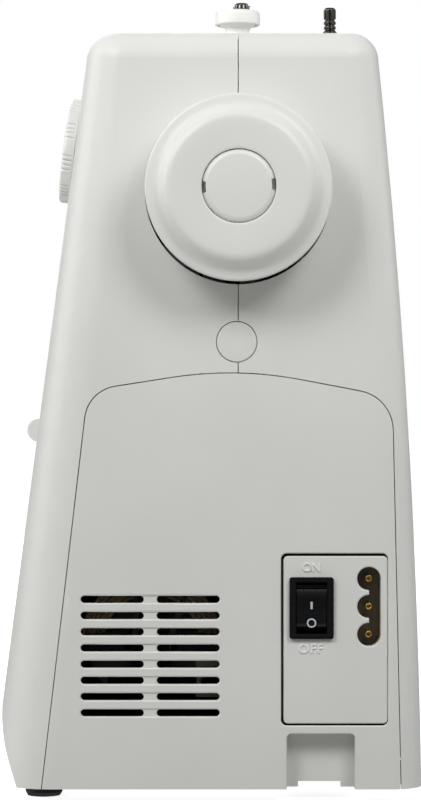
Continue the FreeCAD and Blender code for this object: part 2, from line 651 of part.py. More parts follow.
def toothed(blank, name, count):
    """Blank with shallow tooth gaps cut round its rim."""
    doc.recompute()
    cylinder = blank.Shape
    radius = blank.Radius.Value
    centre, axis = blank.Placement.Base, blank.Placement.Rotation.multVec(V(0, 0, 1))
    side = blank.Placement.Rotation.multVec(V(1, 0, 0))
    gap = Part.makeCylinder(0.75, blank.Height.Value + 2, centre + side * radius - axis, axis)
    gaps = []
    for i in range(count):
        tooth_gap = gap.copy()
        tooth_gap.rotate(centre, axis, 360 * i / count)
        gaps.append(tooth_gap)
    wheel = doc.addObject("Part::Feature", name)
    wheel.Shape = cylinder.cut(gaps)
    return wheel


def belt(left, right, wheels, thickness):
    """Closed belt round two wheels, each (y, z, radius), as a band along X."""
    def loop(grow):
        (y1, z1, r1), (y2, z2, r2) = wheels
        r1, r2 = r1 + grow, r2 + grow
        run = math.hypot(y2 - y1, z2 - z1)
        heading = math.atan2(z2 - z1, y2 - y1)
        lean = math.acos((r1 - r2) / run)

        def at(wheel, angle):
            y, z, radius = wheel
            return V(left, y + radius * math.cos(angle), z + radius * math.sin(angle))
        big, small = (y1, z1, r1), (y2, z2, r2)
        a, b = heading + lean, heading - lean
        edges = [
            Part.Arc(at(big, a), at(big, heading + math.pi), at(big, b)).toShape(),
            Part.makeLine(at(big, b), at(small, b)),
            Part.Arc(at(small, b), at(small, heading), at(small, a)).toShape(),
            Part.makeLine(at(small, a), at(big, a)),
        ]
        return Part.Face(Part.Wire(edges))
    band = loop(thickness).cut(loop(0))
    return band.extrude(V(right - left, 0, 0))


def make_belts():
    gap = 0.4
    drive = [(dims.seam, dims.shaft_level, dims.drive_radius + gap),
             (dims.motor_y, dims.motor_level, dims.motor_radius + gap)]
    feature("drive_belt", belt(dims.drive_belt_left + 0.5, dims.drive_belt_right - 0.5, drive, 2.2))
    pair = [(dims.seam, level, dims.timing_radius + gap) for level in (dims.shaft_level, dims.lower_level)]
    feature("timing_belt", belt(dims.timing_left + 0.5, dims.timing_right - 0.5, pair, 1.6))


def make_motor():
    line = ("motor_y", "motor_level")
    feet = [box("motor_foot", span, ("motor_y - 18", "motor_y + 18"), ("6", "motor_level")) for span in
            (("94", "102"), ("134", "142"))]
    solid = join("motor_solid", rod("motor_case", "x", line, ("90", "150"), "28"),
                 rod("motor_nose", "x", line, ("150", "154"), "12"), *feet)
    inner = rod("motor_bore", "x", line, ("110", "155"), "3 + running_gap")
    part("motor", cut("motor", solid, inner))
    left, right = "drive_belt_left", "drive_belt_right"
    part("motor_pulley", turned("motor_pulley", "x", line, [
        ("0", "112"), ("3", "112"), ("3", f"{left} - 2.5"), ("motor_radius + 2.5", f"{left} - 2.5"),
        ("motor_radius + 2.5", f"{left} - 0.6"), ("motor_radius", left), ("motor_radius", right),
        ("motor_radius + 2.5", f"{right} + 0.6"), ("motor_radius + 2.5", f"{right} + 2"),
        ("0", f"{right} + 2")]))


# ---------------------------------------------------------------- head mechanism

def make_needle_side():
    pin_level = "shaft_level + stroke / 2"
    rod_x = ("crank_left - 7.5", "crank_left - 1.5")
    body = join("rod_solid", rod("rod_big_end", "x", ("seam", pin_level), rod_x, "6.5"),
                rod("rod_small_end", "x", ("seam", f"{pin_level} - 45"), rod_x, "5.5"),
                box("rod_web", rod_x, ("seam - 3.5", "seam + 3.5"), (f"{pin_level} - 45", pin_level)))
    eyes = [rod("rod_bore", "x", ("seam", pin_level), ("-120", "-100"), "3.05"),
            rod("rod_eye", "x", ("seam", f"{pin_level} - 45"), ("-120", "-100"), "3.3")]
    part("connecting_rod", cut("connecting_rod", body, *eyes))
    line = ("needle_line", "seam")
    bar = join("needle_bar_solid", rod("needle_rod", "z", line, ("125", "262"), "bar_radius"),
               box("stud_block", ("-130", "-117.6"), ("seam - 6", "seam + 6"), ("204.5", "215.5")))
    part("needle_bar", cut("needle_bar", bar, rod("needle_socket", "z", line, ("124", "133"), "1")))
    clamp = join("clamp_solid", rod("clamp_ring", "z", line, ("121", "131"), "5.6"),
                 rod("clamp_screw", "x", ("seam", "127.5"), ("needle_line + 1", "needle_line + 14"), "1.6"),
                 rod("clamp_thumb", "x", ("seam", "127.5"), ("needle_line + 8", "needle_line + 13"), "4"))
    holes = [rod("clamp_bore", "z", line, ("125", "133"), "bar_radius"),
             rod("clamp_hole", "z", line, ("120", "125.5"), "1")]
    part("needle_clamp", cut("needle_clamp", clamp, *holes))
    part("needle", turned("needle", "z", line, [("0", "92"), ("0.5", "95"), ("0.5", "115"), ("1", "117.5"),
                                                ("1", "132.9"), ("0", "132.9")]))


def make_presser_side():
    line = ("needle_line", "presser_line")
    part("presser_bar", join("presser_bar", rod("presser_rod", "z", line, ("92", "256"), "bar_radius"),
                             rod("presser_collar", "z", line, ("184", "191"), "6.5")))
    holder = cut("holder_solid", box("holder_block", ("-129", "-119"), ("23", "35"), ("88.5", "99")),
                 rod("holder_bore", "z", line, ("92", "100"), "bar_radius"))
    fork = box("holder_fork", ("-126.3", "-121.7"), ("26", "32"), ("83.5", "88.5"))
    pin = rod("foot_pin", "x", ("presser_line", "85.5"), ("-129.5", "-118.5"), "1.2")
    part("presser_foot_holder", join("presser_foot_holder", holder, fork, pin))
    sole = box("foot_sole", ("-131", "-117"), ("4.8", "34"), ("sole_level", "sole_level + 1.8"))
    ears = [box("foot_ear", span, ("26.5", "31.5"), ("sole_level + 1.8", "87.7")) for span in
            (("-129", "-126.8"), ("-121.2", "-119"))]
    slot = box("foot_slot", ("-128.2", "-119.8"), ("8.5", "13.5"), ("78", "83"))
    split = box("foot_toe_gap", ("-125.5", "-122.5"), ("3", "9"), ("78", "83"))
    foot = cut("foot_blank", join("foot_solid", sole, *ears), slot, split,
               rod("ear_bore", "x", ("presser_line", "85.5"), ("-131", "-117"), "1.25"))
    part("presser_foot", foot)
    lever = join("lever_solid", rod("lever_hub", "x", ("50", "175"), ("-129", "-118.3"), "6"), lever_arm())
    bore = rod("lever_bore", "x", ("50", "175"), ("-131", "-116"), "2.55")
    part("presser_lever", cut("presser_lever", lever, bore))
    make_spring()


def lever_arm():
    """Rounded finger piece of the presser lever, drooping to the rear."""
    arm_bar = box("lever_bar", ("-128", "-119.3"), ("50", "78"), ("172.5", "177.5"))
    arm_end = rod("lever_end", "x", ("78", "175"), ("-128", "-119.3"), "2.5")
    whole = join("lever_whole", arm_bar, arm_end)
    doc.recompute()
    shape = whole.Shape.copy()
    shape.rotate(V(0, 50, 175), V(1, 0, 0), -24)
    item = doc.addObject("Part::Feature", "lever_arm")
    item.Shape = shape
    return item


def make_spring():
    """Presser spring, a helix round the presser bar."""
    radius, wire, low, height = 5.4, 0.6, 199.5, 18
    helix = Part.makeHelix(3.6, height, radius)
    ring = Part.Wire([Part.makeCircle(wire, V(radius, 0, 0), V(0, 1, 0))])
    coil = Part.Wire(helix).makePipeShell([ring], True, True)
    coil.translate(V(dims.needle_line, dims.presser_line, low))
    feature("presser_spring", coil)


def make_take_up():
    lever = join("take_up_solid", rod("take_up_hub", "x", ("8", "245"), ("-140", "-137"), "7"),
                 box("take_up_arm", ("-140", "-137"), ("-56", "8"), ("241.5", "248.5")),
                 rod("take_up_tip", "x", ("-56", "245"), ("-140", "-137"), "3.5"))
    part("take_up_lever", cut("take_up_lever", lever,
                              rod("take_up_bore", "x", ("8", "245"), ("-141", "-136"), "3.05"),
                              rod("take_up_eye", "x", ("-55", "245.5"), ("-141", "-136"), "1.3"),
                              box("take_up_slit", ("-141", "-136"), ("-56", "-54.5"), ("245.5", "250"))))


def make_hook():
    line = ("needle_line", "hook_y")
    shaft = rod("hook_shaft", "z", line, ("40", "61.5"), "3")
    gear = toothed(rod("hook_blank", "z", line, ("44", "52"), "9.8"), "hook_teeth", 24)
    notch = box("hook_gap", ("needle_line", "needle_line + 20"), ("hook_y + 2", "hook_y + 12"), ("66", "76"))
    cup = cut("hook_cup", rod("hook_wall", "z", line, ("61.5", "75.2"), "hook_radius"),
              rod("hook_hollow", "z", line, ("63", "76"), "hook_radius - 1.4"), notch)
    part("rotary_hook", join("rotary_hook", shaft, gear, cup))
    case = cut("case_solid", rod("case_wall", "z", line, ("63.5", "75.2"), "hook_radius - 2"),
               rod("case_hollow", "z", line, ("64.8", "76"), "11.6"))
    part("bobbin_case", case)
    part("bobbin", turned("bobbin", "z", line, [
        ("3.1", "65.1"), ("10.2", "65.1"), ("10.2", "66.1"), ("4.3", "66.1"), ("4.3", "74"),
        ("10.2", "74"), ("10.2", "75"), ("3.1", "75")]))


def make_feed():
    base = box("dog_base", ("-133", "-115"), ("14", "34"), ("68", "75.4"))
    bar = box("feed_bar", ("-120", "40"), ("28", "34"), ("62.5", "68.5"))
    rows = [base, bar]
    for left, right in (("-132", "-129"), ("-125.5", "-122.5"), ("-119", "-116")):
        rows.append(box("dog_rail", (left, right), ("14.5", "31"), ("75.4", "78")))
        for step in range(8):
            start = 14.5 + 2 * step
            rows.append(box("dog_tooth", (left, right), (f"{start}", f"{start} + 1.1"), ("78", "78.7")))
    part("feed_dog", join("feed_dog", *rows))
    top, thick = "bed_level", "plate_thickness"
    plate = box("plate_blank", ("-158", "-92"), ("plate_split", "39"), (f"{top} - {thick}", top))
    needle_slot = box("needle_slot", ("-128.2", "-119.8"), ("9.9", "12.1"), ("70", "80"))
    slots = [box("dog_slot", (f"{left} - 0.5", f"{right} + 0.5"), ("13.9", "31.6"), ("70", "80"))
             for left, right in ((-132, -129), (-125.5, -122.5), (-119, -116))]
    holes = [rod("plate_hole", "z", (x, y), ("70", "80"), "1.6") for x, y in (("-154", "33"), ("-96", "20"))]
    part("needle_plate", cut("needle_plate", plate, needle_slot, *slots, *holes))
    window = box("cover_sheet", ("-150", "-98"), ("-28", "plate_split - 0.3"), (f"{top} - {thick}", top))
    dent = box("cover_grip", ("-130", "-118"), ("-6", "-1.5"), (f"{top} - 0.8", "80"))
    part("bobbin_cover", cut("bobbin_cover", window, dent))


# ---------------------------------------------------------------- controls

def make_dials():
    for label, line, radius in (("pattern_dial", dims.pattern_line, dims.pattern_radius),
                                ("length_dial", dims.length_line, dims.length_radius)):
        skirt = tilted_rod(line, -dims.dial_depth, -0.5, radius)
        rims = [e for e in skirt.Edges if len(e.Vertexes) == 1]
        skirt = skirt.makeFillet(1.2, [min(rims, key=lambda e: e.BoundBox.YMin)])
        feature(label, skirt.fuse(tilted_rod(line, -1, 38, 4)).removeSplitter())
    front = "arm_front"
    across = ("tension_line", "tension_level")
    part("tension_dial", turned("tension_dial", "y", across, [
        ("0", f"{front} - 8.5"), ("10.5", f"{front} - 8.5"), ("12", f"{front} - 7.5"),
        ("13", f"{front} - 0.6"), ("3", f"{front} - 0.6"), ("3", f"{front} + 16"), ("0", f"{front} + 16")]))
    discs = []
    for back in ("4", "5.6"):
        span = (f"{front} + {back}", f"{front} + {back} + 1.2")
        discs.append(tube("tension_disc", "y", across, span, "9", "3.4"))
    strip = box("guide_strip", ("-52", "-44"), ("34", "38"), ("top_level", "top_level + 8"))
    guide = cut("guide_loop", strip, rod("guide_hole", "y", ("-48", "top_level + 4"), ("30", "42"), "2"))
    button = turned("winder_tension", "z", ("-15", "28"), [
        ("0", "top_level"), ("6", "top_level"), ("6", "top_level + 1.2"), ("2.4", "top_level + 2"),
        ("2.4", "top_level + 3"), ("6", "top_level + 3.8"), ("5", "top_level + 5"), ("0", "top_level + 5.6")])
    part("thread_guides", join("thread_guides", guide, button, *discs))


def make_reverse_lever():
    x = ("97.6", "126.4")
    pivot = ("reverse_pivot_y", "reverse_pivot_level")
    nose = rod("reverse_nose", "x", ("-70.9", "144.45"), x, "4.75")
    bar = box("reverse_bar", x, ("-70.9", "-42"), ("140.6", "148.6"))
    hub = rod("reverse_hub", "x", pivot, x, "6.5")
    bore = rod("reverse_bore", "x", pivot, ("90", "134"), "2.55")
    part("reverse_lever", cut("reverse_lever", join("reverse_solid", nose, bar, hub), bore))


def make_winder():
    top = "top_level"
    part("winder_stopper", turned("winder_stopper", "z", ("stopper_line", "seam"), [
        ("0", top), ("5.5", top), ("4.4", f"{top} + 1.5"), ("4.4", f"{top} + 5"), ("9.2", f"{top} + 5"),
        ("9.2", f"{top} + 11.3"), ("8.1", f"{top} + 12.4"), ("0", f"{top} + 12.4")]))
    pivot = ("winder_line", "winder_pivot_y")
    spindle = ("winder_line", "spindle_y")
    span = ("winder_line - 4", "winder_line + 4")
    web = box("winder_web", span, ("spindle_y", "winder_pivot_y"), ("292", "296"))
    lever = join("winder_bar", rod("winder_eye", "z", pivot, ("292", "296"), "5.5"),
                 rod("winder_nose", "z", spindle, ("290", "297"), "5.5"), web)
    bores = [rod("winder_bore", "z", place, ("289", "299"), "3.05") for place in (pivot, spindle)]
    part("winder_lever", cut("winder_lever", lever, *bores))
    part("winder_spindle", turned("winder_spindle", "z", spindle, [
        ("0", "254"), ("3", "254"), ("3", "256"), ("7.5", "256"), ("7.5", "262"), ("3", "262"),
        ("3", "297.2"), ("4.6", "297.2"), ("4.6", "299"), ("3", "299"), ("3", f"{top} + 17.6"),
        ("2.2", f"{top} + 18.8"), ("0", f"{top} + 18.8")]))
    part("spool_pin", turned("spool_pin", "z", ("spool_line", "spool_y"), [
        ("0", "250"), ("4", "250"), ("4", "253"), ("2.5", "253"), ("2.5", f"{top} + 2"),
        ("2", f"{top} + 3"), ("2", f"{top} + 4.4"), ("2.65", f"{top} + 5"), ("2.65", f"{top} + 7"),
        ("2", f"{top} + 7.6"), ("2.65", f"{top} + 8.4"), ("2.65", f"{top} + 16.4"),
        ("1.8", f"{top} + 17.3"), ("0", f"{top} + 17.3")]))


def make_handle():
    """U-shaped carrying handle, folded down behind the arm."""
    left, right, y, level = dims.handle_left, dims.handle_right, dims.handle_y, dims.handle_level
    depth = (y - 5.5, y + 5.5)
    corners = [(left, level + 5.5, 5.4), (left, level - 55, 14), (right, level - 55, 14),
               (right, level + 5.5, 5.4), (right - 8, level + 5.5, 0), (right - 8, level - 42, 7),
               (left + 8, level - 42, 7), (left + 8, level + 5.5, 0)]
    bail = along_y(corners, *depth)

    def long_edge(edge):
        return edge.BoundBox.YLength < 0.01 and edge.BoundBox.ZMax < level - 1
    bail = bail.makeFillet(2.5, [e for e in bail.Edges if long_edge(e)])
    pins = [round_bar("x", (y, level), span, 3) for span in ((left + 1, left + 16), (right - 16, right - 1))]
    tops = round_bar("x", (y, level), (left - 1, right + 1), 5.5).fuse(
        slab((left - 1, right + 1), depth, (level - 60, level)))
    feature("carry_handle", bail.common(tops).fuse(pins))


# ---------------------------------------------------------------- electrical end panel

def make_panel():
    end = dims.end_face
    front, rear, low, high = dims.panel_front, dims.panel_rear, dims.panel_low, dims.panel_high
    face = rect((front + 1, rear - 0.2), (low + 0.8, high - 1.1), 1.8)
    rim = rect((front - 2.2, rear + 0.7), (low - 1.1, high + 2), 1.5)
    plate = along_x(face, end - 3, end - 0.2).fuse(along_x(rim, end - 4.9, end - 2.8))
    switch_hole = slab((end - 6, end + 1), (dims.switch_y - 7.3, dims.switch_y + 7.3),
                       (dims.switch_level - 11, dims.switch_level + 11))
    sockets = [round_bar("x", (dims.inlet_y, dims.inlet_low + i * dims.inlet_pitch), (end - 16, end + 1), 4.7)
               for i in range(3)]
    straight = slab((end - 16, end + 1), (dims.inlet_y, dims.inlet_y + 4.7),
                    (dims.inlet_low, dims.inlet_low + 2 * dims.inlet_pitch))
    plate = plate.cut([switch_hole, straight] + sockets)
    feature("terminal_plate", eased(plate, end - 0.2, 0.4, lambda edge: edge.YMin > 56 or edge.YMax < 30
                                    or edge.ZMin > 90 or edge.ZMax < 40))
    block = slab((end - 20, end - 5), (56, 70), (56, 94))
    feature("power_inlet", block.cut([straight] + sockets))
    pins = []
    for i in range(3):
        line = (dims.inlet_y, dims.inlet_low + i * dims.inlet_pitch)
        pin = round_bar("x", line, (end - 16, end - 3), 1.3)
        pins.append(pin.cut(round_bar("x", line, (end - 10, end), 0.8)))
    feature("inlet_pins", Part.makeCompound(pins))
    y, level = dims.switch_y, dims.switch_level
    bezel = along_x(rect((y - 8.8, y + 8.8), (level - 12.25, level + 12.25), 0.8), end - 0.2, end + 1.8)
    case = slab((end - 18, end - 0.2), (y - 7.1, y + 7.1), (level - 10.8, level + 10.8))
    pivot = dims.rocker_pivot
    room = slab((end - 14, end + 3), (y - 6.15, y + 6.15), (level - 10.2, level + 10.2))
    stubs = [round_bar("y", (pivot, level), (y + side, y + side + 1.2), 1) for side in (-6.4, 5.2)]
    feature("switch_body", bezel.fuse(case).cut(room).fuse(stubs))
    make_rocker(pivot, y, level)
    feature("screw_cap", round_bar("x", (dims.cap_y, dims.cap_level), (end - 2.2, end - 0.1), dims.cap_radius)
            .fuse(round_bar("x", (dims.cap_y, dims.cap_level), (end - 4.5, end - 2.2), dims.cap_radius - 1)))


def make_rocker(pivot, y, level):
    """Rocker with a shallow V face, its upper end standing out."""
    width = (y - 5.9, y + 5.9)
    face = [(pivot - 4, level - 12, 0), (pivot + 5.4, level - 12, 0), (pivot + 4.2, level, 0),
            (pivot + 5.4, level + 12, 0), (pivot - 4, level + 12, 0)]
    rocker = along_y(face, *width).common(round_bar("y", (pivot, level), width, 9.7))
    rocker = rocker.cut(round_bar("y", (pivot, level), (width[0] - 1, width[1] + 1), 1.06))
    rocker.rotate(V(pivot, y, level), V(0, 1, 0), 7)
    feature("switch_rocker", rocker)


# ---------------------------------------------------------------- lamp and screws

def make_lamp():
    bracket = box("lamp_arm", ("-168", "-156"), ("seam - 8", "frame_front"), ("207", "211"))
    socket = rod("lamp_socket", "z", ("-162", "seam"), ("190", "207"), "9")
    part("lamp_holder", join("lamp_holder", bracket, socket))
    part("lamp_bulb", turned("lamp_bulb", "z", ("-162", "seam"), [
        ("0", "157"), ("4", "158.5"), ("7", "163"), ("8", "169"), ("8", "184"), ("6.5", "190"),
        ("0", "190")]))


def screw(name, axis, across, head, tip, radius):
    """Pan-head screw, from the outer face of its head down to its tip."""
    seat = f"{head} - 1.4"
    return join(name, rod(name + "_head", axis, across, (seat, head), f"{radius} * 1.7"),
                rod(name + "_shank", axis, across, (tip, seat), radius))


def make_screws():
    """Fasteners as one group: two in the needle plate and one behind the round cap."""
    places = (("-154", "33"), ("-96", "20"))
    group = [screw("plate_screw", "z", place, "79.4", "70", "1.5") for place in places]
    group.append(screw("end_screw", "x", ("cap_y", "cap_level"), "end_face - 5", "end_face - 24", "2"))
    part("cover_screws", join("cover_screws", *group))


make_casing()
make_bed_cover()
make_extension_table()
make_base()
make_arm_frame()
make_bed_frame()
make_bushes()
make_main_shaft()
make_lower_shaft()
make_belts()
make_motor()
make_needle_side()
make_presser_side()
make_take_up()
make_hook()
make_feed()
make_dials()
make_reverse_lever()
make_winder()
make_handle()
make_panel()
make_lamp()
make_screws()
doc.recompute()

for item in doc.Objects:
    if "Invalid" in item.State or "Error" in item.State:
        raise RuntimeError(f"{item.Name} failed: {item.State}")
for label, item in parts.items():
    if item.Shape.isNull() or not item.Shape.isValid() or not item.Shape.Solids:
        raise RuntimeError(f"{label} has no valid solid")

os.makedirs("parts", exist_ok=True)
for label, item in parts.items():
    item.Shape.exportStep(f"parts/{label}.step")
    print(label, len(item.Shape.Solids), "solid(s),", round(item.Shape.Volume / 1000, 2), "cm3")
print(len(parts), "pieces")
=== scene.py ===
import json
import math

import bmesh
import bpy
from mathutils import Matrix, Vector


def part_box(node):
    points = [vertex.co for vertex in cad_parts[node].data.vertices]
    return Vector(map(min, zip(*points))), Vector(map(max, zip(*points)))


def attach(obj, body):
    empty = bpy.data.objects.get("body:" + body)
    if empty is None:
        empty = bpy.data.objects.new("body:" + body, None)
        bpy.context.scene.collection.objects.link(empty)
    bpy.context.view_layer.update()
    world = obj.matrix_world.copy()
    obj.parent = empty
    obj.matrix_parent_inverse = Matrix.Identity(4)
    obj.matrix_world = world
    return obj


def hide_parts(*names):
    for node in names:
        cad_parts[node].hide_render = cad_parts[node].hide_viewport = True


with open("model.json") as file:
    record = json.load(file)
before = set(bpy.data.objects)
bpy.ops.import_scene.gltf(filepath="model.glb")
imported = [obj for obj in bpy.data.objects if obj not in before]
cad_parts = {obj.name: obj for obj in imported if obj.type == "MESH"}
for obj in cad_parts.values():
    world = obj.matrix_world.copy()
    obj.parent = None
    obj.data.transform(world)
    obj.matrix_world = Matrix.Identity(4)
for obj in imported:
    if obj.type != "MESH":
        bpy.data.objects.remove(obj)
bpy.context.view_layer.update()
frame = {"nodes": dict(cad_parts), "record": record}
nodes = frame["nodes"]
slot_of = {row["node"]: row["material_slot"] for row in frame["record"]["subparts"]}
body_of = {node: body for body, group in frame["record"]["behaviour"]["bodies"].items() for node in group}
MM = 0.001                 # pieces are drawn in millimetres and scaled by this as they are placed
ARC_STEPS = 6              # straight runs in a rounded corner
SHARP = math.radians(38)   # a steeper edge than this stays crisp
STILL = Matrix()           # placement that moves nothing
BRUSHED = (1, 26, 26)      # stretch that draws a grain out along X


# ---------------------------------------------------------------- materials

def shader(name):
    """New material with its tree and its Principled node."""
    made = bpy.data.materials.new(name)
    made.use_nodes = True
    return made, made.node_tree, made.node_tree.nodes["Principled BSDF"]


def noise(tree, scale, detail=2.0, stretch=(1, 1, 1)):
    """Noise in the piece's own coordinates, as a number from 0 to 1."""
    place = tree.nodes.new("ShaderNodeTexCoord")
    mapping = tree.nodes.new("ShaderNodeMapping")
    mapping.inputs["Scale"].default_value = stretch
    texture = tree.nodes.new("ShaderNodeTexNoise")
    texture.inputs["Scale"].default_value = scale
    texture.inputs["Detail"].default_value = detail
    tree.links.new(place.outputs["Object"], mapping.inputs["Vector"])
    tree.links.new(mapping.outputs["Vector"], texture.inputs["Vector"])
    return texture.outputs["Fac"]


def tones(tree, factor, dark, light, low=0.35, high=0.65):
    """Colour that runs from dark to light with the factor."""
    ramp = tree.nodes.new("ShaderNodeValToRGB")
    for element, position, colour in zip(ramp.color_ramp.elements, (low, high), (dark, light)):
        element.position = position
        element.color = (*colour, 1)
    tree.links.new(factor, ramp.inputs["Fac"])
    return ramp.outputs["Color"]


def spread(tree, factor, low, high):
    """The factor, mapped from its usual 0.3 to 0.7 to low and high."""
    mapped = tree.nodes.new("ShaderNodeMapRange")
    for socket, number in (("From Min", 0.3), ("From Max", 0.7), ("To Min", low), ("To Max", high)):
        mapped.inputs[socket].default_value = number
    tree.links.new(factor, mapped.inputs["Value"])
    return mapped.outputs["Result"]


def relief(tree, factor, height):
    """Bump of the given height in metres."""
    bump = tree.nodes.new("ShaderNodeBump")
    bump.inputs["Distance"].default_value = height
    tree.links.new(factor, bump.inputs["Height"])
    return bump.outputs["Normal"]


def surface(name, dark, light, rough, grain, height, clouds=14.0, stretch=(1, 1, 1), **fixed):
    """Two close tones in soft clouds, uneven gloss and a fine grain.

    grain and clouds are noise scales, height is the grain's bump in metres, and fixed are plain socket
    values.
    """
    made, tree, principled = shader(name)
    drift = noise(tree, clouds, 3.0)
    fine = noise(tree, grain, 3.0, stretch)
    tree.links.new(tones(tree, drift, dark, light), principled.inputs["Base Color"])
    tree.links.new(spread(tree, fine, *rough), principled.inputs["Roughness"])
    tree.links.new(relief(tree, fine, height), principled.inputs["Normal"])
    for socket, number in fixed.items():
        principled.inputs[socket.replace("_", " ")].default_value = number
    return made


FINISHES = {
    "housing": dict(dark=(0.70, 0.703, 0.673), light=(0.735, 0.738, 0.708), rough=(0.36, 0.46), grain=2600,
                    height=0.00002),
    # Lighter copy of the housing plastic for the dials, reverse lever and stopper: painted light.
    "housing_painted_light": dict(dark=(0.84, 0.842, 0.82), light=(0.87, 0.872, 0.85), rough=(0.34, 0.44),
                           grain=2600, height=0.00002),
    "base": dict(dark=(0.27, 0.27, 0.262), light=(0.31, 0.31, 0.3), rough=(0.5, 0.62), grain=1500,
                 height=0.00004),
    "black_plastic": dict(dark=(0.003, 0.003, 0.003), light=(0.006, 0.006, 0.0062), rough=(0.24, 0.34),
                          grain=2200, height=0.00001, Specular_IOR_Level=0.3),
    "socket": dict(dark=(0.3, 0.255, 0.175), light=(0.36, 0.31, 0.22), rough=(0.4, 0.55), grain=1800,
                   height=0.00002),
    # Raised ON and OFF letters: the housing plastic made lighter, a painted highlight on their faces.
    "letter_painted_highlight": dict(dark=(0.84, 0.84, 0.82), light=(0.88, 0.88, 0.86), rough=(0.35, 0.45), grain=2600,
                   height=0.00001),
    "brass": dict(dark=(0.62, 0.4, 0.13), light=(0.74, 0.5, 0.19), rough=(0.16, 0.3), grain=900,
                  height=0.000006, Metallic=1.0),
    "rubber": dict(dark=(0.012, 0.012, 0.012), light=(0.024, 0.024, 0.023), rough=(0.62, 0.8), grain=1300,
                   height=0.00005),
    "casting": dict(dark=(0.42, 0.425, 0.43), light=(0.52, 0.525, 0.53), rough=(0.42, 0.6), grain=700,
                    height=0.0001, Metallic=1.0),
    "steel": dict(dark=(0.42, 0.42, 0.425), light=(0.53, 0.53, 0.535), rough=(0.24, 0.38), grain=320,
                  height=0.00001, stretch=BRUSHED, Metallic=1.0),
    "chrome": dict(dark=(0.5, 0.5, 0.505), light=(0.58, 0.58, 0.585), rough=(0.08, 0.16), grain=400,
                   height=0.000004, Metallic=1.0),
    # Darker copy of the chrome for the bobbin spindle and spool pin: painted dark reflection.
    "chrome_painted_shade": dict(dark=(0.12, 0.112, 0.1), light=(0.19, 0.178, 0.16), rough=(0.1, 0.2), grain=400,
                        height=0.000004, Metallic=1.0),
    "bronze": dict(dark=(0.4, 0.24, 0.1), light=(0.52, 0.33, 0.15), rough=(0.35, 0.5), grain=1200,
                   height=0.00002, Metallic=1.0),
    "nylon": dict(dark=(0.6, 0.585, 0.52), light=(0.67, 0.655, 0.59), rough=(0.38, 0.5), grain=1600,
                  height=0.00002),
    "clear": dict(dark=(0.55, 0.57, 0.58), light=(0.62, 0.64, 0.65), rough=(0.05, 0.09), grain=500,
                  height=0.000004, Transmission_Weight=0.85, IOR=1.5),
    "winding": dict(dark=(0.38, 0.25, 0.15), light=(0.62, 0.46, 0.31), rough=(0.4, 0.6), grain=1500,
                    height=0.00005),
    "matt_black": dict(dark=(0.004, 0.004, 0.0035), light=(0.009, 0.009, 0.008), rough=(0.85, 0.95),
                       grain=1400, height=0.00003, Specular_IOR_Level=0.05),
    "fibre": dict(dark=(0.13, 0.13, 0.1), light=(0.18, 0.178, 0.14), rough=(0.6, 0.75), grain=1200,
                  height=0.00003),
    "lamination": dict(dark=(0.05, 0.05, 0.052), light=(0.11, 0.108, 0.105), rough=(0.4, 0.6), grain=90,
                       height=0.0002, stretch=(30, 1, 1), Metallic=0.8),
    "switch_mark": dict(dark=(0.5, 0.56, 0.62), light=(0.6, 0.66, 0.72), rough=(0.4, 0.5), grain=2000,
                        height=0.000005),
    "print": dict(dark=(0.09, 0.1, 0.115), light=(0.13, 0.14, 0.155), rough=(0.45, 0.6), grain=2000,
                  height=0.000005),
    "thread": dict(dark=(0.06, 0.13, 0.26), light=(0.1, 0.19, 0.34), rough=(0.6, 0.8), grain=3200,
                   height=0.00006, Sheen_Weight=0.3),
}
materials = {name: surface(name, **finish) for name, finish in FINISHES.items()}


def dress(piece, material):
    """Give a piece one material."""
    piece.data.materials.clear()
    piece.data.materials.append(material)


for label, node in nodes.items():
    dress(node, materials[slot_of[label]])
dress(nodes["motor_pulley"], materials["matt_black"])
# Reverse lever in the lighter copy of the housing plastic: painted light.
dress(nodes["reverse_lever"], materials["housing_painted_light"])


# ---------------------------------------------------------------- drawing in millimetres

def box_of(node):
    """Lowest and highest corner of a CAD node, in millimetres."""
    low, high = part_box(node)
    return low / MM, high / MM


def facing(axis, origin):
    """Placement that turns local Z to an axis and moves it to the origin."""
    return Matrix.Translation(origin) @ Vector(axis).to_track_quat("Z", "Y").to_matrix().to_4x4()


def towards_x(x, y, z):
    """Local X becomes +Y, local Y becomes +Z and local Z becomes +X: drawing on the handwheel end."""
    return Matrix(((0, 0, 1, x), (1, 0, 0, y), (0, 1, 0, z), (0, 0, 0, 1)))


def rounded_line(corners, closed=False):
    """Points through (a, b, radius) corners, each corner turned as an arc."""
    points = []
    count = len(corners)
    for i, corner in enumerate(corners):
        here = Vector(corner[:2])
        radius = corner[2] if len(corner) > 2 else 0
        if not radius or (not closed and i in (0, count - 1)):
            points.append(here)
            continue
        back = (Vector(corners[i - 1][:2]) - here).normalized()
        ahead = (Vector(corners[(i + 1) % count][:2]) - here).normalized()
        half = back.angle(ahead) / 2
        centre = here + (back + ahead).normalized() * (radius / math.sin(half))
        reach = radius / math.tan(half)
        first, last = here + back * reach - centre, here + ahead * reach - centre
        swing = math.pi - 2 * half
        for step in range(ARC_STEPS + 1):
            share = step / ARC_STEPS
            parts = math.sin((1 - share) * swing), math.sin(share * swing)
            points.append(centre + (first * parts[0] + last * parts[1]) / math.sin(swing))
    return points


def lathe(line, steps=96, shape=None, ring=False):
    """Mesh turned about local Z from (radius, height) points, closed to a ring if asked.

    shape(radius, height, angle) may change a radius.
    """
    made = bmesh.new()
    rings = []
    for radius, height in line:
        if radius < 1e-6:
            rings.append([made.verts.new((0, 0, height))] * steps)
            continue
        circle = []
        for i in range(steps):
            angle = math.tau * i / steps
            reach = shape(radius, height, angle) if shape else radius
            circle.append(made.verts.new((reach * math.cos(angle), reach * math.sin(angle), height)))
        rings.append(circle)
    pairs = list(zip(rings, rings[1:])) + ([(rings[-1], rings[0])] if ring else [])
    for lower, upper in pairs:
        for i in range(steps):
            loop = [lower[i], lower[(i + 1) % steps], upper[(i + 1) % steps], upper[i]]
            made.faces.new(dict.fromkeys(loop))
    return made


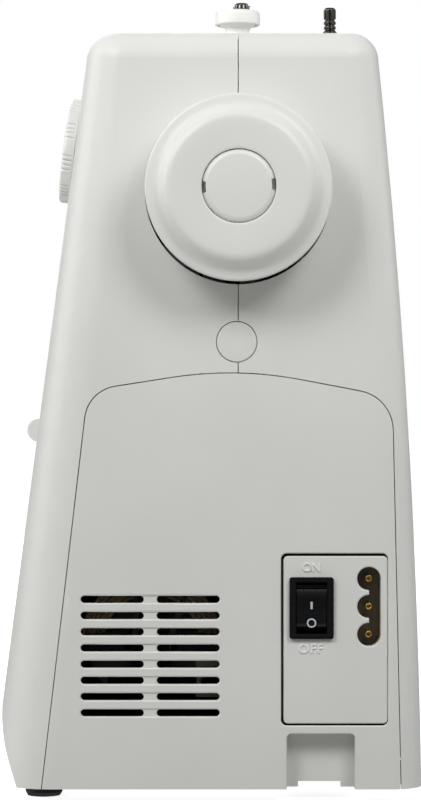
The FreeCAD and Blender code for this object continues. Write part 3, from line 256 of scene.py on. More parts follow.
def plate(loops, low, high):
    """Solid between two heights of local Z, bounded by the first loop and open inside the others."""
    curve = bpy.data.curves.new("loops", "CURVE")
    curve.dimensions = "2D"
    curve.fill_mode = "BOTH"
    curve.extrude = (high - low) / 2
    for loop in loops:
        spline = curve.splines.new("POLY")
        spline.points.add(len(loop) - 1)
        for point, (a, b) in zip(spline.points, loop):
            point.co = (a, b, 0, 1)
        spline.use_cyclic_u = True
    return from_curve(curve, Matrix.Translation((0, 0, (low + high) / 2)))


def from_curve(curve, place=STILL):
    """Mesh of a curve or text, as a bmesh."""
    holder = bpy.data.objects.new("holder", curve)
    mesh = bpy.data.meshes.new_from_object(holder)
    mesh.transform(place)
    made = bmesh.new()
    made.from_mesh(mesh)
    bmesh.ops.remove_doubles(made, verts=made.verts, dist=1e-5)
    bpy.data.objects.remove(holder)
    bpy.data.curves.remove(curve)
    bpy.data.meshes.remove(mesh)
    return made


def wire(points, radius, smooth=True, sides=3):
    """Round wire through points."""
    curve = bpy.data.curves.new("wire", "CURVE")
    curve.dimensions = "3D"
    curve.bevel_depth = radius
    curve.bevel_resolution = sides
    curve.use_fill_caps = True
    curve.resolution_u = 4
    spline = curve.splines.new("NURBS" if smooth else "POLY")
    spline.points.add(len(points) - 1)
    for point, place in zip(spline.points, points):
        point.co = (*place, 1)
    if smooth:
        spline.order_u = 3
        spline.use_endpoint_u = True
    return from_curve(curve)


def lettering(words, size, height, spacing=1.0):
    """Raised text centred on the local origin."""
    text = bpy.data.curves.new("words", "FONT")
    text.body, text.size = words, size
    text.align_x, text.align_y = "CENTER", "CENTER"
    text.extrude = height / 2
    text.space_character = spacing
    text.resolution_u = 3
    return from_curve(text, Matrix.Translation((0, 0, height / 2)))


def gather(*placed):
    """One bmesh from several (bmesh, placement) pairs."""
    whole = bmesh.new()
    for part, place in placed:
        mesh = bpy.data.meshes.new("part")
        part.to_mesh(mesh)
        part.free()
        mesh.transform(place)
        whole.from_mesh(mesh)
        bpy.data.meshes.remove(mesh)
    return whole


def oblong(a, b, radius):
    """Rounded rectangle as a loop, a and b being (low, high)."""
    return rounded_line([(a[0], b[0], radius), (a[1], b[0], radius), (a[1], b[1], radius),
                         (a[0], b[1], radius)], True)


def centred(a, b, radius):
    """Rounded rectangle about the origin, a and b being half its sides."""
    return oblong((-a, a), (-b, b), radius)


def round_loop(radius, steps, a=0.0, b=0.0):
    """Circle about (a, b) as a loop."""
    turns = [math.tau * i / steps for i in range(steps)]
    return [Vector((a + radius * math.cos(turn), b + radius * math.sin(turn))) for turn in turns]


def add(name, made, body, slot, place=STILL, edge=0.0, material=None, stands_for=()):
    """Turn a bmesh into a piece: placed, bevelled by edge, dressed, and riding on its body."""
    bmesh.ops.recalc_face_normals(made, faces=made.faces)
    mesh = bpy.data.meshes.new(name)
    made.to_mesh(mesh)
    made.free()
    mesh.transform(Matrix.Scale(MM, 4) @ place)
    mesh.polygons.foreach_set("use_smooth", [True] * len(mesh.polygons))
    mesh.set_sharp_from_angle(angle=SHARP)
    piece = bpy.data.objects.new(name, mesh)
    bpy.context.scene.collection.objects.link(piece)
    if edge:
        bevel = piece.modifiers.new("edge", "BEVEL")
        bevel.width, bevel.segments = edge * MM, 2
        bevel.limit_method, bevel.angle_limit = "ANGLE", SHARP
        bevel.harden_normals = True
    dress(piece, materials[material or slot])
    if stands_for:
        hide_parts(*stands_for)
    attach(piece, body)


# ---------------------------------------------------------------- handwheel end

def wheel_axis():
    """Y and Z of the handwheel's axis."""
    low, high = box_of("handwheel")
    return (low.y + high.y) / 2, (low.z + high.z) / 2


def make_handwheel():
    """Wheel with a flat face, a step down to a flatter rim, and a side that tapers into the cover's well.
    Behind it sit a matt-black drum and a black ring lining the well: painted shade for the dark gap round the
    wheel.
    """
    low, high = box_of("handwheel")
    y, z = wheel_axis()
    place = towards_x(0, y, z)
    outer, face, rear = (high.y - low.y) / 2 - 0.05, high.x, low.x + 3
    flat, step, stride = 23.9, 30.5, 0.4       # radii of the flat face and of the step, and one run's length
    crown, drop = [], 0.0
    for i in range(int((outer - 1 - flat) / stride) + 1):
        reach = flat + stride * i
        rim = min(max((reach - 30) / 4, 0), 1)
        width = 2.4 if reach < step else 1.9
        tilt = math.radians(60 * math.exp(-((reach - step) / width) ** 2) + 8 * rim)
        drop += math.tan(tilt) * stride
        crown.append(Vector((reach, face - drop)))
    shoulder = crown[-1]
    edge = rounded_line([tuple(shoulder), (outer, shoulder.y - 0.3, 0.9), (outer - 0.1, shoulder.y - 5, 8),
                         (outer - 1.4, rear, 0.3), (outer - 3, rear, 0.3), (outer - 3, rear + 3)])
    behind = face - 9.5
    lip = rounded_line([(flat, face), (15.3, face - 0.4, 3), (14.45, face - 0.6, 0.4), (14.4, behind)])
    outline = [*lip[::-1], *crown[1:], *edge[1:], Vector((33, behind))]
    add("wheel", lathe(outline, 160, ring=True), "main_drive", "housing", place, stands_for=("handwheel",))

    behind, knob_seat = face - 9.8, 192
    drum = rounded_line([(5, low.x), (14, low.x, 1), (14, face - 20, 3), (28, face - 18, 4),
                         (29.7, face - 25, 1), (32.5, face - 25, 1), (32.6, behind), (14.3, behind),
                         (14.3, knob_seat), (5, knob_seat)])
    # The drum is matt black as painted shade: it stands for the deep shadow in the gap behind the wheel.
    add("wheel_drum", lathe(drum, 160, ring=True), "main_drive", "housing", place, material="matt_black",
        stands_for=("handwheel",))

    end = box_of("side_cover")[1].x
    well = (high.y - low.y) / 2 + 0.35
    shade_ring = [(well - 0.12, end - 5), (well, end - 5), (well, end - 0.25), (well - 0.12, end - 0.25)]
    # Thin matt-black ring round the well: painted shade in the gap round the wheel.
    add("wheel_well_shade", lathe(shade_ring, 160, ring=True), "frame", "rubber", place, material="matt_black")


def make_clutch_knob():
    """Flush knob in the wheel's middle, with two grip notches."""
    y, z = wheel_axis()
    low, high = box_of("clutch_knob")
    radius, face = (high.z - low.z) / 2, high.x
    skirt = radius + 0.3
    notch_half, notch_depth, notch_floor, notch_turn = 2.1, 1.0, face - 4.2, math.radians(2)

    def shape(reach, height, angle):
        across = abs(radius * math.sin(angle - notch_turn))
        cut = across < notch_half and reach > radius - notch_depth and height > notch_floor
        return radius - notch_depth if cut else reach
    line = rounded_line([(0, low.x), (radius, low.x, 0.3), (skirt, face - 6), (skirt, notch_floor - 0.1),
                         (skirt, notch_floor + 0.1), (skirt, face - 1.4), (radius, face - 1.3),
                         (radius, face - 0.9, 0.7), (radius - 1.5, face - 0.25, 2), (0, face)])
    add("wheel_knob", lathe(line, 240, shape), "clutch", "housing", towards_x(0, y, z),
        stands_for=("clutch_knob",))


def make_end_cap():
    """Round plug over the end screw, slightly crowned."""
    low, high = box_of("screw_cap")
    middle, radius, flange = (low + high) / 2, (high.z - low.z) / 2, low.x + 2.3
    line = rounded_line([(0, low.x), (radius - 1, low.x, 0.2), (radius - 1, flange), (radius, flange),
                         (radius, high.x - 0.1, 0.5), (0, high.x + 0.15)])
    add("end_plug", lathe(line), "frame", "housing", towards_x(0, middle.y, middle.z),
        stands_for=("screw_cap",))


def make_switch():
    """Rocker switch: bezel with a raised frame, open case, rocker and its two marks."""
    low, high = box_of("switch_body")
    y, z = (low.y + high.y) / 2, (low.z + high.z) / 2
    half_y, half_z = (high.y - low.y) / 2, (high.z - low.z) / 2
    face, panel, floor = high.x, high.x - 2, low.x + 3
    room, shell = centred(6.15, 10.2, 0.4), centred(7.1, 10.8, 0.5)
    case = (plate([centred(half_y, half_z, 1.1), room], panel, face - 0.5),
            plate([centred(half_y - 1, half_z - 1, 0.7), centred(6.7, 10.8, 0.5)], face - 0.7, face),
            plate([shell, room], floor, panel + 0.1),
            plate([shell], low.x, floor))
    add("switch_case", gather(*((part, STILL) for part in case)), "frame", "black_plastic",
        towards_x(0, y, z), 0.35, stands_for=("switch_body",))

    pivot, radius, half_width = panel - 3.3, 9.7, 5.9
    waist, rise, rise_at = 4.2, 5.0, 8.1       # how far the rocker stands out in its middle and near its end
    lean = Matrix.Translation((pivot, y, z)) @ Matrix.Rotation(math.radians(7), 4, "Y")
    side = [(-4, -radius * 0.86, 1.5), (3.6, -radius * 0.9, 0.9), (4.9, -8, 6), (waist, 0, 12),
            (rise, rise_at, 6), (3.9, radius * 0.9, 0.9), (-4, radius * 0.86, 1.5)]
    upright = Matrix(((1, 0, 0, 0), (0, 0, -1, 0), (0, 1, 0, 0), (0, 0, 0, 1)))
    add("switch_rocker_cap", plate([rounded_line(side, True)], -half_width, half_width), "rocker",
        "black_plastic", lean @ upright, 0.3, stands_for=("switch_rocker",))

    tilt, thick = math.atan((rise - waist) / rise_at), 0.12
    bar = plate([centred(0.45, 1.55, 0.1)], 0, thick)
    ring = plate([centred(1.85, 1.85, 1.84), centred(1.3, 1.3, 1.29)], 0, thick)
    outwards = towards_x(0, 0, 0)
    upper = Matrix.Translation((4.28, 0, 1.6)) @ Matrix.Rotation(tilt, 4, "Y") @ outwards
    lower = Matrix.Translation((4.67, 0, -5.4)) @ Matrix.Rotation(-tilt, 4, "Y") @ outwards
    add("switch_marks", gather((bar, upper), (ring, lower)), "rocker", "black_plastic", lean,
        material="switch_mark")

    # The raised letters take a lighter copy of the housing plastic: painted highlight.
    sunk, proud = 0.02, 0.5
    for name, words, size, spacing, across, up in (
            ("mark_on", "ON", 4.9, 0.88, 0, 15.95), ("mark_off", "OFF", 5.3, 1.12, -0.3, -16.3)):
        add(name, lettering(words, size, proud, spacing), "frame", "housing",
            towards_x(panel - sunk, y + across, z + up), material="letter_painted_highlight")


def make_inlet_pins():
    """Three hollow contact pins standing in the inlet's round wells."""
    low, high = box_of("inlet_pins")
    y, radius = (low.y + high.y) / 2, (high.y - low.y) / 2
    pitch = (high.z - low.z - 2 * radius) / 2
    line = rounded_line([(0, low.x), (radius, low.x, 0.1), (radius, high.x, 0.35), (0.8, high.x, 0.2),
                         (0.75, high.x - 5), (0, high.x - 5.4)])
    pins = [(lathe(line, 40), towards_x(0, y, low.z + radius + i * pitch)) for i in range(3)]
    add("contact_pins", gather(*pins), "frame", "brass", stands_for=("inlet_pins",))


def make_motor():
    """Motor behind the vents: laminated stack, brown windings, bracket, feet and terminals."""
    low, high = box_of("motor")
    y, radius = (low.y + high.y) / 2, 28
    z = high.z - radius
    place = towards_x(0, y, z)
    rear, front, reach = low.x + 9, high.x - 17, radius - 1.5
    stack = lathe([(0, rear), (reach, rear), (reach, front), (0, front)])
    add("motor_stack", stack, "frame", "steel", place, 0.6, material="lamination", stands_for=("motor",))

    bundles, pitch = [], 1.9
    arc = [math.pi * (i - 1) / 24 for i in range(27)]
    for x in (low.x + 5.5, high.x - 11.5):
        for turn in range(5):
            for layer in (-1, 0, 1):
                reach = 20.6 + pitch * turn
                loop = [Vector((x + pitch * layer + 0.5 * math.sin(3 * a + turn), y + reach * math.cos(a),
                                z + reach * math.sin(a))) for a in arc]
                bundles.append((wire(loop, 1.05), STILL))
    add("motor_windings", gather(*bundles), "frame", "steel", material="winding", stands_for=("motor",))

    arm = plate([rounded_line([(-radius, -4, 2), (-9, -6, 3), (-9, -12, 5), (9, -12, 5), (9, -6, 3),
                               (radius, -4, 2), (radius, 4, 2), (9, 6, 3), (9, 12, 5), (-9, 12, 5),
                               (-9, 6, 3), (-radius, 4, 2)], True)], high.x - 7, high.x - 3.5)
    nose = lathe(rounded_line([(3.1, high.x - 8), (11, high.x - 8), (11, high.x - 2, 1), (8, high.x, 1),
                               (3.1, high.x)]), 64, ring=True)
    back = lathe(rounded_line([(0, low.x), (14, low.x, 3), (22, low.x + 4, 3), (22, rear), (0, rear)]), 64)
    add("motor_bracket", gather((arm, STILL), (nose, STILL), (back, STILL)), "frame", "steel", place, 0.4,
        material="black_plastic", stands_for=("motor",))

    foot_length = 8
    feet = [(plate([oblong((-18, 18), (low.z - z, -12), 2)], x, x + foot_length), STILL) for x in (94, 134)]
    add("motor_feet", gather(*feet), "frame", "steel", place, 0.5, material="matt_black",
        stands_for=("motor",))

    blocks = [(plate([oblong((-6, 3.6), span, 0.5)], high.x + 1, high.x + 3), STILL)
              for span in ((40.5, 44.5), (52.8, 57.4))]
    strip = (plate([oblong((-5.5, -4), (41, 57), 0.4)], high.x + 0.6, high.x + 1.2), STILL)
    add("motor_terminals", gather(*blocks, strip), "frame", "steel", towards_x(0, 0, 0), 0.2,
        material="fibre")


def make_bed_end():
    """Wall that closes the fixed bed's end beside the pillar, inside its skin."""
    low, high = box_of("bed_cover")
    foot, top, back = low.z + 0.6, high.z - 3, low.y + 27
    side = [Vector(point) for point in (
        (low.y + 12, foot), (low.y + 4.2, low.z + 33), (low.y + 8.5, high.z - 10), (low.y + 12, top),
        (back, top), (back, foot))]
    add("bed_end", plate([side], high.x - 2.2, high.x - 0.6), "frame", "housing", towards_x(0, 0, 0))


def make_air_guide():
    """Black trough round the motor, open at the top and towards the vents, with a wall behind. Its matt black
    is painted shade that keeps the vents' lower rows dark.
    """
    low, high = box_of("motor")
    y, radius = (low.y + high.y) / 2, (high.y - low.y) / 2
    z = high.z - radius
    left, right = -radius - 3.5, radius + 3.5
    under, over = box_of("base_plate")[1].z + 20 - z, radius + 2
    wall, back, mouth = 1.0, low.x + 30, box_of("side_cover")[1].x - 4.5
    inner_left, inner_right, inner_under = left + wall, right - wall, under + wall
    profile = [Vector(point) for point in (
        (left, over), (left, under), (right, under), (right, over), (inner_right, over),
        (inner_right, inner_under), (inner_left, inner_under), (inner_left, over))]
    rear = plate([oblong((left, right), (under, over), 0.5), round_loop(27, 64)], back - wall, back)
    # The trough's matt black is painted shade seen through the vents.
    add("vent_shade_trough", gather((plate([profile], back, mouth), STILL), (rear, STILL)), "frame",
        "black_plastic", towards_x(0, y, z), material="matt_black")


def make_panel_seal():
    """Black strip in the gap between the terminal plate and the cover's opening: painted shade that darkens
    the gap.
    """
    low, high = box_of("terminal_plate")
    outer = oblong((low.y + 2.25, high.y - 0.75), (low.z + 1.15, high.z - 2.05), 2.2)
    inner = oblong((low.y + 2.9, high.y - 0.85), (low.z + 1.8, high.z - 3.0), 1.7)
    # Matt-black strip: painted shade in the gap round the terminal plate.
    add("panel_gap_shade", plate([outer, inner], high.x - 2.4, high.x - 0.7), "frame", "rubber",
        towards_x(0, 0, 0), material="matt_black")


# ---------------------------------------------------------------- front controls

def joint_frame(name):
    """Placement at a joint: local Z runs out along its axis and local Y upwards."""
    joint = next(row for row in frame["record"]["behaviour"]["joints"] if row["name"] == name)
    out = Vector(joint["axis"]).normalized()
    up = (Vector((0, 0, 1)) - out * out.z).normalized()
    turn = Matrix((up.cross(out), up, out)).transposed().to_4x4()
    return Matrix.Translation(Vector(joint["pos_m"]) / MM) @ turn


def grip(groups, notches, depth, rim, foot):
    """Shape of a dial's rim: groups of narrow grooves across its edge, above foot."""
    pitch, band = math.radians(5.2), 1.3

    def shape(reach, height, angle):
        if reach < rim - band or height < foot:
            return reach
        offset = ((angle * groups / math.tau) % 1 - 0.5) * math.tau / groups / pitch
        if abs(offset) > notches / 2:
            return reach
        return reach - depth * max(0, math.cos((offset + (0 if notches % 2 else 0.5)) * math.tau)) ** 2
    return shape


def make_dial(name, node, numbers, start, sweep):
    """Ribbed dial with a grip, a pointer on the cover, and numbers round its face from start over sweep."""
    low, high = box_of(node)
    radius, depth, foot = (high.x - low.x) / 2, 5.4, 1.45
    place, body = joint_frame(node + "_turn"), body_of[node]
    line = rounded_line([(0, 0.5), (radius, 0.5, 0.3), (radius, 1.4), (radius, 1.5), (radius, depth - 1.3),
                         (radius - 0.2, depth - 0.4, 1), (radius - 2.2, depth, 2),
                         (radius - 7.2, depth - 0.1, 0.5), (radius - 7.6, depth - 1.1, 0.5),
                         (4, depth - 1.0), (0, depth - 0.9)])
    stem = lathe([(0, -38), (4, -38), (4, 0.6), (0, 0.6)], 40)
    head = lathe(line, 420, grip(groups=10, notches=4, depth=0.7, rim=radius, foot=foot))
    add(name, gather((head, STILL), (stem, STILL)), body, "housing", place, material="housing_painted_light",
        stands_for=(node,))
    handle = plate([centred(3.2, radius - 8.4, 3.1)], depth - 1.2, depth)
    add(name + "_grip", handle, body, "housing", place, 0.8, "housing_painted_light")
    figures, reach, sunk = [], radius - 4.6, 0.03
    for i, words in enumerate(numbers):
        angle = start + sweep * i / (len(numbers) - 1)
        spot = Matrix.Translation((-reach * math.sin(angle), reach * math.cos(angle), depth - sunk))
        figures.append((lettering(words, 3.1, 0.08), spot @ Matrix.Rotation(angle, 4, "Z")))
    add(name + "_numbers", gather(*figures), body, "housing", place, material="print")
    pointer = plate([rounded_line([(-1.5, 3.2, 0.2), (1.5, 3.2, 0.2), (0, 0, 0.2)], True)], 0.0, 0.25)
    add(name + "_pointer", pointer, "frame", "housing", place @ Matrix.Translation((0, radius + 1.6, 0)),
        material="print")


def make_dials():
    """Stitch dial, numbered 1 to 12 all round, and length dial, numbered 0 to 4 over three quarters."""
    make_dial("pattern_knob", "pattern_dial", [str(i) for i in range(1, 13)], 0, math.tau * 11 / 12)
    make_dial("length_knob", "length_dial", [str(i) for i in range(5)], math.radians(135), math.radians(-270))


def make_tension():
    """Thread tension dial on the head, ribbed, numbered 0 to 9."""
    low, high = box_of("tension_dial")
    x, z = (low.x + high.x) / 2, (low.z + high.z) / 2
    front = high.y - 16
    radius, depth = (high.x - low.x) / 2, front - low.y
    place = facing((0, -1, 0), (x, front, z))
    line = rounded_line([(0, 0.6), (radius, 0.6, 0.3), (radius - 0.4, depth - 1.6), (radius - 1.2, depth, 1),
                         (radius - 4.5, depth, 0.6), (radius - 5, depth - 0.8, 0.4), (0, depth - 0.8)])
    ribs, band = 24, 1.3

    def shape(reach, height, angle):
        if reach < radius - band:
            return reach
        return reach - 0.45 * (0.5 + 0.5 * math.cos(ribs * angle)) ** 3
    stem = lathe([(0, -16), (3, -16), (3, 0.7), (0, 0.7)], 32)
    add("tension_knob", gather((lathe(line, 384, shape), STILL), (stem, STILL)), "tension", "housing", place,
        stands_for=("tension_dial",))
    figures, reach, sunk = [], radius - 3.0, 0.03
    for i in range(10):
        angle = math.tau * i / 10
        spot = Matrix.Translation((reach * math.sin(angle), -reach * math.cos(angle), depth - sunk))
        figures.append((lettering(str(i), 2.5, 0.08), spot @ Matrix.Rotation(angle + math.pi, 4, "Z")))
    add("tension_numbers", gather(*figures), "tension", "housing", place, material="print")


def make_stitch_chart():
    """Printed row of numbered stitch shapes on the front of the arm."""
    face = box_of("face_cover")[0].y
    left, top, pitch, tall, steps = -48, box_of("tension_dial")[1].z - 12, 17, 9, 48
    waves = (
        lambda t: 0.0,
        lambda t: 2.2 * (abs((t * 4) % 2 - 1) * 2 - 1),
        lambda t: 1.3 * (abs((t * 8) % 2 - 1) * 2 - 1),
        lambda t: 2.2 * max(0.0, 1 - abs((t * 3) % 1 - 0.5) * 6) - 1.1,
        lambda t: 2.2 * math.sin(t * math.tau * 2),
        lambda t: 2.2 * abs(math.sin(t * math.tau * 2)) - 1.1,
    )
    shapes = []
    for column, wave in enumerate(waves):
        middle = left + pitch * column
        points = [Vector((middle + wave(i / steps), face - 0.05, top - tall * i / steps))
                  for i in range(steps + 1)]
        shapes.append((wire(points, 0.28, smooth=False, sides=1), STILL))
        spot = facing((0, -1, 0), (middle, face + 0.02, top - tall - 4))
        shapes.append((lettering(str(column + 1), 3.2, 0.1), spot))
    add("stitch_chart", gather(*shapes), "frame", "housing", material="print")


# ---------------------------------------------------------------- top and head

def make_winder():
    """Fluted bobbin spindle with its spring wire, and the round stopper beside it."""
    low, high = box_of("winder_spindle")
    middle, top = (low + high) / 2, high.z
    place = Matrix.Translation((middle.x, middle.y, 0))
    flutes, flute_depth = 10, 0.8

    def shape(reach, height, angle):
        deep = flute_depth if top - 13 < height < top - 0.4 and reach > 2.3 else 0
        return reach - deep * (0.5 + 0.5 * math.cos(flutes * angle)) ** 2
    line = rounded_line([(0, low.z), (3, low.z), (3, low.z + 2), (7.5, low.z + 2, 0.5),
                         (7.5, low.z + 8, 0.5), (3, low.z + 8), (3, top - 25.6), (4.6, top - 25.6, 0.3),
                         (4.6, top - 23.8, 0.3), (3, top - 23.8), (3, top - 13.2), (3, top - 12.6),
                         (3, top - 4), (2.4, top - 3.6, 0.2), (3, top - 3.2), (3, top - 1),
                         (2.4, top, 0.5), (0, top)])
    add("bobbin_spindle", lathe(line, 168, shape), "winder", "chrome", place, material="chrome_painted_shade",
        stands_for=("winder_spindle",))
    loops = []
    for side, lift in ((-1, 0), (1, 0.6)):
        wave = [Vector((1.3 * math.sin(step * 2.1), side * (2.9 + 0.5 * (step % 2)),
                        top - 12 + lift + 0.95 * step)) for step in range(12)]
        loops.append((wire(wave, 0.3), STILL))
    add("spindle_spring", gather(*loops), "winder", "chrome", place)

    low, high = box_of("winder_stopper")
    middle, radius, base, top = (low + high) / 2, (high.x - low.x) / 2, low.z, high.z
    line = rounded_line([(0, base), (5.6, base, 0.3), (5.0, base + 1.4, 1.5), (5.0, base + 5.2, 1),
                         (7.2, base + 6.2, 0.6), (7.2, base + 7.0, 0.2), (8.1, base + 7.0, 0.2),
                         (8.3, base + 6.3, 0.2), (radius, base + 6.4, 0.8), (radius, top - 0.3, 1.5),
                         (radius - 3, top, 3), (0, top - 0.1)])
    add("stopper", lathe(line), "frame", "housing", Matrix.Translation((middle.x, middle.y, 0)),
        material="housing_painted_light", stands_for=("winder_stopper",))


def make_spool_pin():
    """Spool pin with a plain foot, a ribbed upper end and three narrow waists in it."""
    low, high = box_of("spool_pin")
    middle, top = (low + high) / 2, high.z
    line = rounded_line([(0, low.z), (4, low.z, 0.3), (4, low.z + 3, 0.3), (2.5, low.z + 3),
                         (2.5, top - 11.4), (3.1, top - 10.6, 0.2), (2.9, top - 10.1, 0.2),
                         (2.0, top - 9.2, 0.3), (2.65, top - 8.7, 0.2), (2.6, top - 8, 0.2),
                         (1.9, top - 7.3, 0.3), (2.65, top - 6.7, 0.2), (2.6, top - 5.9, 0.2),
                         (1.9, top - 5.2, 0.3), (2.65, top - 4.5, 0.2), (2.65, top - 0.9, 0.5),
                         (1.9, top, 0.3), (0, top)])
    ridges, ridge_depth = 8, 0.75

    def shape(reach, height, angle):
        deep = ridge_depth if top - 11 < height < top - 0.5 and reach > 1.85 else 0
        return reach - deep * (0.5 + 0.5 * math.cos(ridges * angle)) ** 3
    add("spool_post", lathe(line, 120, shape), "spool", "chrome",
        Matrix.Translation((middle.x, middle.y, 0)), material="chrome_painted_shade", stands_for=("spool_pin",))


def make_presser_foot():
    """Zigzag foot: sole with a turned-up, split toe, a needle slot and two ears for its pin."""
    low, high = box_of("presser_foot")
    x, half = (low.x + high.x) / 2, (high.x - low.x) / 2
    split, slot, thick, stations = 1.5, 4.2, 1.6, 26
    toe_lift, toe_length = 3.2, 7
    made = bmesh.new()

    def level(y):
        """Underside of the sole, turned up towards the toe."""
        share = max(0.0, 1 - (y - low.y) / toe_length)
        return low.z + toe_lift * share ** 2

    def strip(left, right, first, last):
        """Part of the sole between two x, from y first to last."""
        rows = []
        for i in range(stations + 1):
            y = first + (last - first) * i / stations
            z = level(y)
            corners = (left, y, z), (right, y, z), (right, y, z + thick), (left, y, z + thick)
            rows.append([made.verts.new(corner) for corner in corners])
        for a, b in zip(rows, rows[1:]):
            for k in range(4):
                made.faces.new((a[k], a[(k + 1) % 4], b[(k + 1) % 4], b[k]))
        made.faces.new(rows[0])
        made.faces.new(rows[-1])
    strip(x - half, x - slot, low.y, high.y)
    strip(x + slot, x + half, low.y, high.y)
    strip(x - slot, x - split, low.y, low.y + 3.7)
    strip(x + split, x + slot, low.y, low.y + 3.7)
    strip(x - slot, x + slot, low.y + 8.7, high.y)

    pin_y, pin_z, pin_radius, root = 29, low.z + 6.3, 1.25, low.z + 1
    front, back = pin_y - 2.7, pin_y + 2.7
    outline = rounded_line([(front, root, 0.3), (back, root, 0.3), (back, high.z, 2.4),
                            (front, high.z, 2.4)], True)
    hole = round_loop(pin_radius, 24, pin_y, pin_z)
    ears = [(plate([outline, hole], x + inner, x + inner + 2.0), towards_x(0, 0, 0)) for inner in (-4.9, 2.9)]
    add("foot_plate", gather((made, STILL), *ears), "foot", "chrome", edge=0.25,
        stands_for=("presser_foot",))


def make_screws():
    """Pan-head screws, two in the needle plate and one behind the end plug; their cross recess is a thin dark
    cross laid on the head, painted shade.
    """
    head_height = 1.4

    def screw(radius, length):
        """Screw with the top of its head at the origin, pointing down."""
        head = radius * 1.7
        return lathe(rounded_line([(0, -length), (radius, -length, 0.3), (radius, -head_height),
                                   (head, -head_height, 0.1), (head, -0.45, 0.5), (head * 0.45, 0, 1),
                                   (0.0, 0)]), 48)

    def recess(radius):
        """Thin dark cross on the head: painted shade standing for the recess."""
        reach, width = radius * 1.05, radius * 0.26
        return plate([rounded_line([(-reach, -width), (-width, -width), (-width, -reach), (width, -reach),
                                    (width, -width), (reach, -width), (reach, width), (width, width),
                                    (width, reach), (-width, reach), (-width, width), (-reach, width)],
                                   True)], -0.02, 0.02)
    top, casting = box_of("needle_plate")[1].z + head_height, 70        # heads stand on the plate
    cap_low, cap_high = box_of("screw_cap")
    middle = (cap_low + cap_high) / 2
    spots = ((1.5, top - casting, Matrix.Translation((-154, 33, top))),
             (1.5, top - casting, Matrix.Translation((-96, 20, top))),
             (2.0, 19, towards_x(box_of("cover_screws")[1].x, middle.y, middle.z)))
    bodies = [(screw(radius, length), place) for radius, length, place in spots]
    marks = [(recess(radius), place) for radius, _, place in spots]
    add("screw_bodies", gather(*bodies), "frame", "steel", stands_for=("cover_screws",))
    # Dark cross plates: painted shade in place of a cut recess.
    add("screw_recess_shade", gather(*marks), "frame", "steel", material="lamination")


def make_thread():
    """Thread wound on the bobbin, lap beside lap."""
    low, high = box_of("bobbin")
    x, y = (low.x + high.x) / 2, (low.y + high.y) / 2
    bottom, top = low.z + 1.1, high.z - 1.1
    core, reach, swell, steps = 4.35, 8.4, 0.16, 14 * 4        # 14 laps of 4 points
    line = [Vector((core, bottom))]
    line += [Vector((reach + swell * math.sin(math.tau * i / 4), bottom + (top - bottom) * i / steps))
             for i in range(steps + 1)]
    line.append(Vector((core, top)))
    add("bobbin_thread", lathe(line, 72, ring=True), "bobbin", "nylon", Matrix.Translation((x, y, 0)),
        material="thread")


def make_plate_marks():
    """Guide lines across the needle plate, to the right of the needle."""
    low, high = box_of("needle_plate")
    needle, first, pitch, half = -124, 12, 3.2, 0.12
    front, back = low.y + 12, high.y - 1
    marks = []
    for i in range(5):
        x = needle + first + pitch * i
        loop = [(x - half, front), (x + half, front), (x + half, back), (x - half, back)]
        marks.append((plate([loop], high.z - 0.01, high.z + 0.015), STILL))
    add("seam_guides", gather(*marks), "frame", "chrome", material="print")


def make_lamp():
    """Filament and cap inside the lamp's glass."""
    low, high = box_of("lamp_bulb")
    place = Matrix.Translation(((low.x + high.x) / 2, (low.y + high.y) / 2, 0))
    base, tip = high.z - 5, high.z - 1
    cap = lathe(rounded_line([(0, base), (6.2, base, 0.5), (6.6, tip), (0, tip)]), 48)
    add("lamp_cap", cap, "frame", "brass", place)
    level, half, coil_radius, turns, steps = low.z + 14, 3, 0.5, 12, 59
    coil = []
    for i in range(steps + 1):
        share = i / steps
        angle = share * math.tau * turns
        coil.append(Vector((-half + 2 * half * share, coil_radius * math.cos(angle),
                            level + coil_radius * math.sin(angle))))
    wires = [wire(coil, 0.12)]
    wires += [wire([Vector((x, 0, base)), Vector((x, 0, level))], 0.2, smooth=False) for x in (-half, half)]
    add("lamp_filament", gather(*((made, STILL) for made in wires)), "frame", "steel", place)


# ---------------------------------------------------------------- studio

def make_floor():
    """Pale floor. It doesn't light the object, so that the studio's own light decides the shading."""
    half = 12.0
    mesh = bpy.data.meshes.new("floor")
    corners = [(-half, -half, 0), (half, -half, 0), (half, half, 0), (-half, half, 0)]
    mesh.from_pydata(corners, [], [(0, 1, 2, 3)])
    floor = bpy.data.objects.new("floor", mesh)
    bpy.context.scene.collection.objects.link(floor)
    made = surface("floor", (0.84, 0.84, 0.84), (0.86, 0.86, 0.86), (0.75, 0.85), 60, 0.00002,
                   Specular_IOR_Level=0.1, Emission_Strength=0.85)
    made.node_tree.nodes["Principled BSDF"].inputs["Emission Color"].default_value = (1, 1, 1, 1)
    dress(floor, made)
    floor.visible_diffuse = False
    floor.visible_glossy = False


def make_light(name, place, aim, size, power):
    """Square soft box of the given side, aimed at a point."""
    lamp = bpy.data.lights.new(name, "AREA")
    lamp.size, lamp.energy = size, power
    box = bpy.data.objects.new(name, lamp)
    box.location = place
    box.rotation_euler = (Vector(aim) - Vector(place)).to_track_quat("-Z", "Y").to_euler()
    bpy.context.scene.collection.objects.link(box)


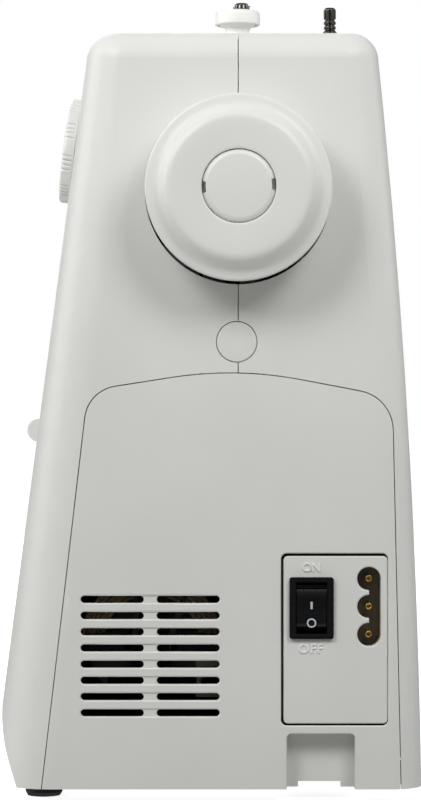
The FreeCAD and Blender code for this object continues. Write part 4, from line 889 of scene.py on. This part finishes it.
def make_world():
    """White surroundings to look at; their light on the object is soft and uneven, as in a light tent."""
    world = bpy.data.worlds.new("studio")
    world.use_nodes = True
    tree = world.node_tree
    seen = tree.nodes["Background"]
    seen.inputs["Color"].default_value = (1, 1, 1, 1)
    light = tree.nodes.new("ShaderNodeBackground")
    place = tree.nodes.new("ShaderNodeTexCoord")
    height = tree.nodes.new("ShaderNodeSeparateXYZ")
    share = tree.nodes.new("ShaderNodeMapRange")
    share.inputs["From Min"].default_value = -1
    ramp = tree.nodes.new("ShaderNodeValToRGB")
    stops = ((0.0, 1.6), (0.07, 1.2), (0.2, 0.1), (0.5, 0.2), (0.75, 0.3), (1.0, 0.28))
    for position, _ in stops[2:]:
        ramp.color_ramp.elements.new(position)
    for element, (position, tone) in zip(ramp.color_ramp.elements, stops):
        element.position = position
        element.color = (tone, tone, tone, 1)
    ray = tree.nodes.new("ShaderNodeLightPath")
    mix = tree.nodes.new("ShaderNodeMixShader")
    tree.links.new(place.outputs["Generated"], height.inputs["Vector"])
    tree.links.new(height.outputs["Z"], share.inputs["Value"])
    tree.links.new(share.outputs["Result"], ramp.inputs["Fac"])
    tree.links.new(ramp.outputs["Color"], light.inputs["Color"])
    tree.links.new(ray.outputs["Is Camera Ray"], mix.inputs["Fac"])
    tree.links.new(light.outputs["Background"], mix.inputs[1])
    tree.links.new(seen.outputs["Background"], mix.inputs[2])
    tree.links.new(mix.outputs["Shader"], tree.nodes["World Output"].inputs["Surface"])
    bpy.context.scene.world = world
    bpy.context.scene.view_settings.view_transform = "Standard"


def make_studio():
    """Floor, surroundings and soft boxes: two keys on the wheel's end and three fills round the machine."""
    make_floor()
    make_world()
    wheel_end, middle = (0.17, 0, 0.24), (0, 0, 0.16)
    for name, place, aim, size, power in (
            ("key_left", (0.85, -0.5, 0.8), wheel_end, 0.4, 4.95),
            ("key_right", (0.85, 0.42, 0.8), wheel_end, 0.4, 4.2),
            ("front_fill", (0.0, -1.6, 0.7), middle, 1.2, 13),
            ("rear_fill", (0.0, 1.7, 0.8), middle, 1.2, 8),
            ("left_fill", (-1.7, -0.3, 0.9), middle, 1.2, 7.5)):
        make_light(name, place, aim, size, power)


def make_camera():
    """Level view of the handwheel end, from 1.1 m in front of it."""
    distance, height = 1.1, 0.1546
    lens = bpy.data.cameras.new("camera")
    lens.sensor_width, lens.lens = 36.0, 124.7
    lens.clip_start, lens.clip_end = 0.05, 60
    camera = bpy.data.objects.new("camera", lens)
    camera.location = (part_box("side_cover")[1].x + distance, 0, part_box("base_plate")[0].z + height)
    camera.rotation_euler = (math.pi / 2, 0, math.pi / 2)
    bpy.context.scene.collection.objects.link(camera)
    bpy.context.scene.camera = camera


make_handwheel()
make_clutch_knob()
make_end_cap()
make_switch()
make_inlet_pins()
make_motor()
make_bed_end()
make_air_guide()
make_panel_seal()
make_dials()
make_tension()
make_stitch_chart()
make_winder()
make_spool_pin()
make_presser_foot()
make_screws()
make_thread()
make_plate_marks()
make_lamp()
make_studio()
make_camera()
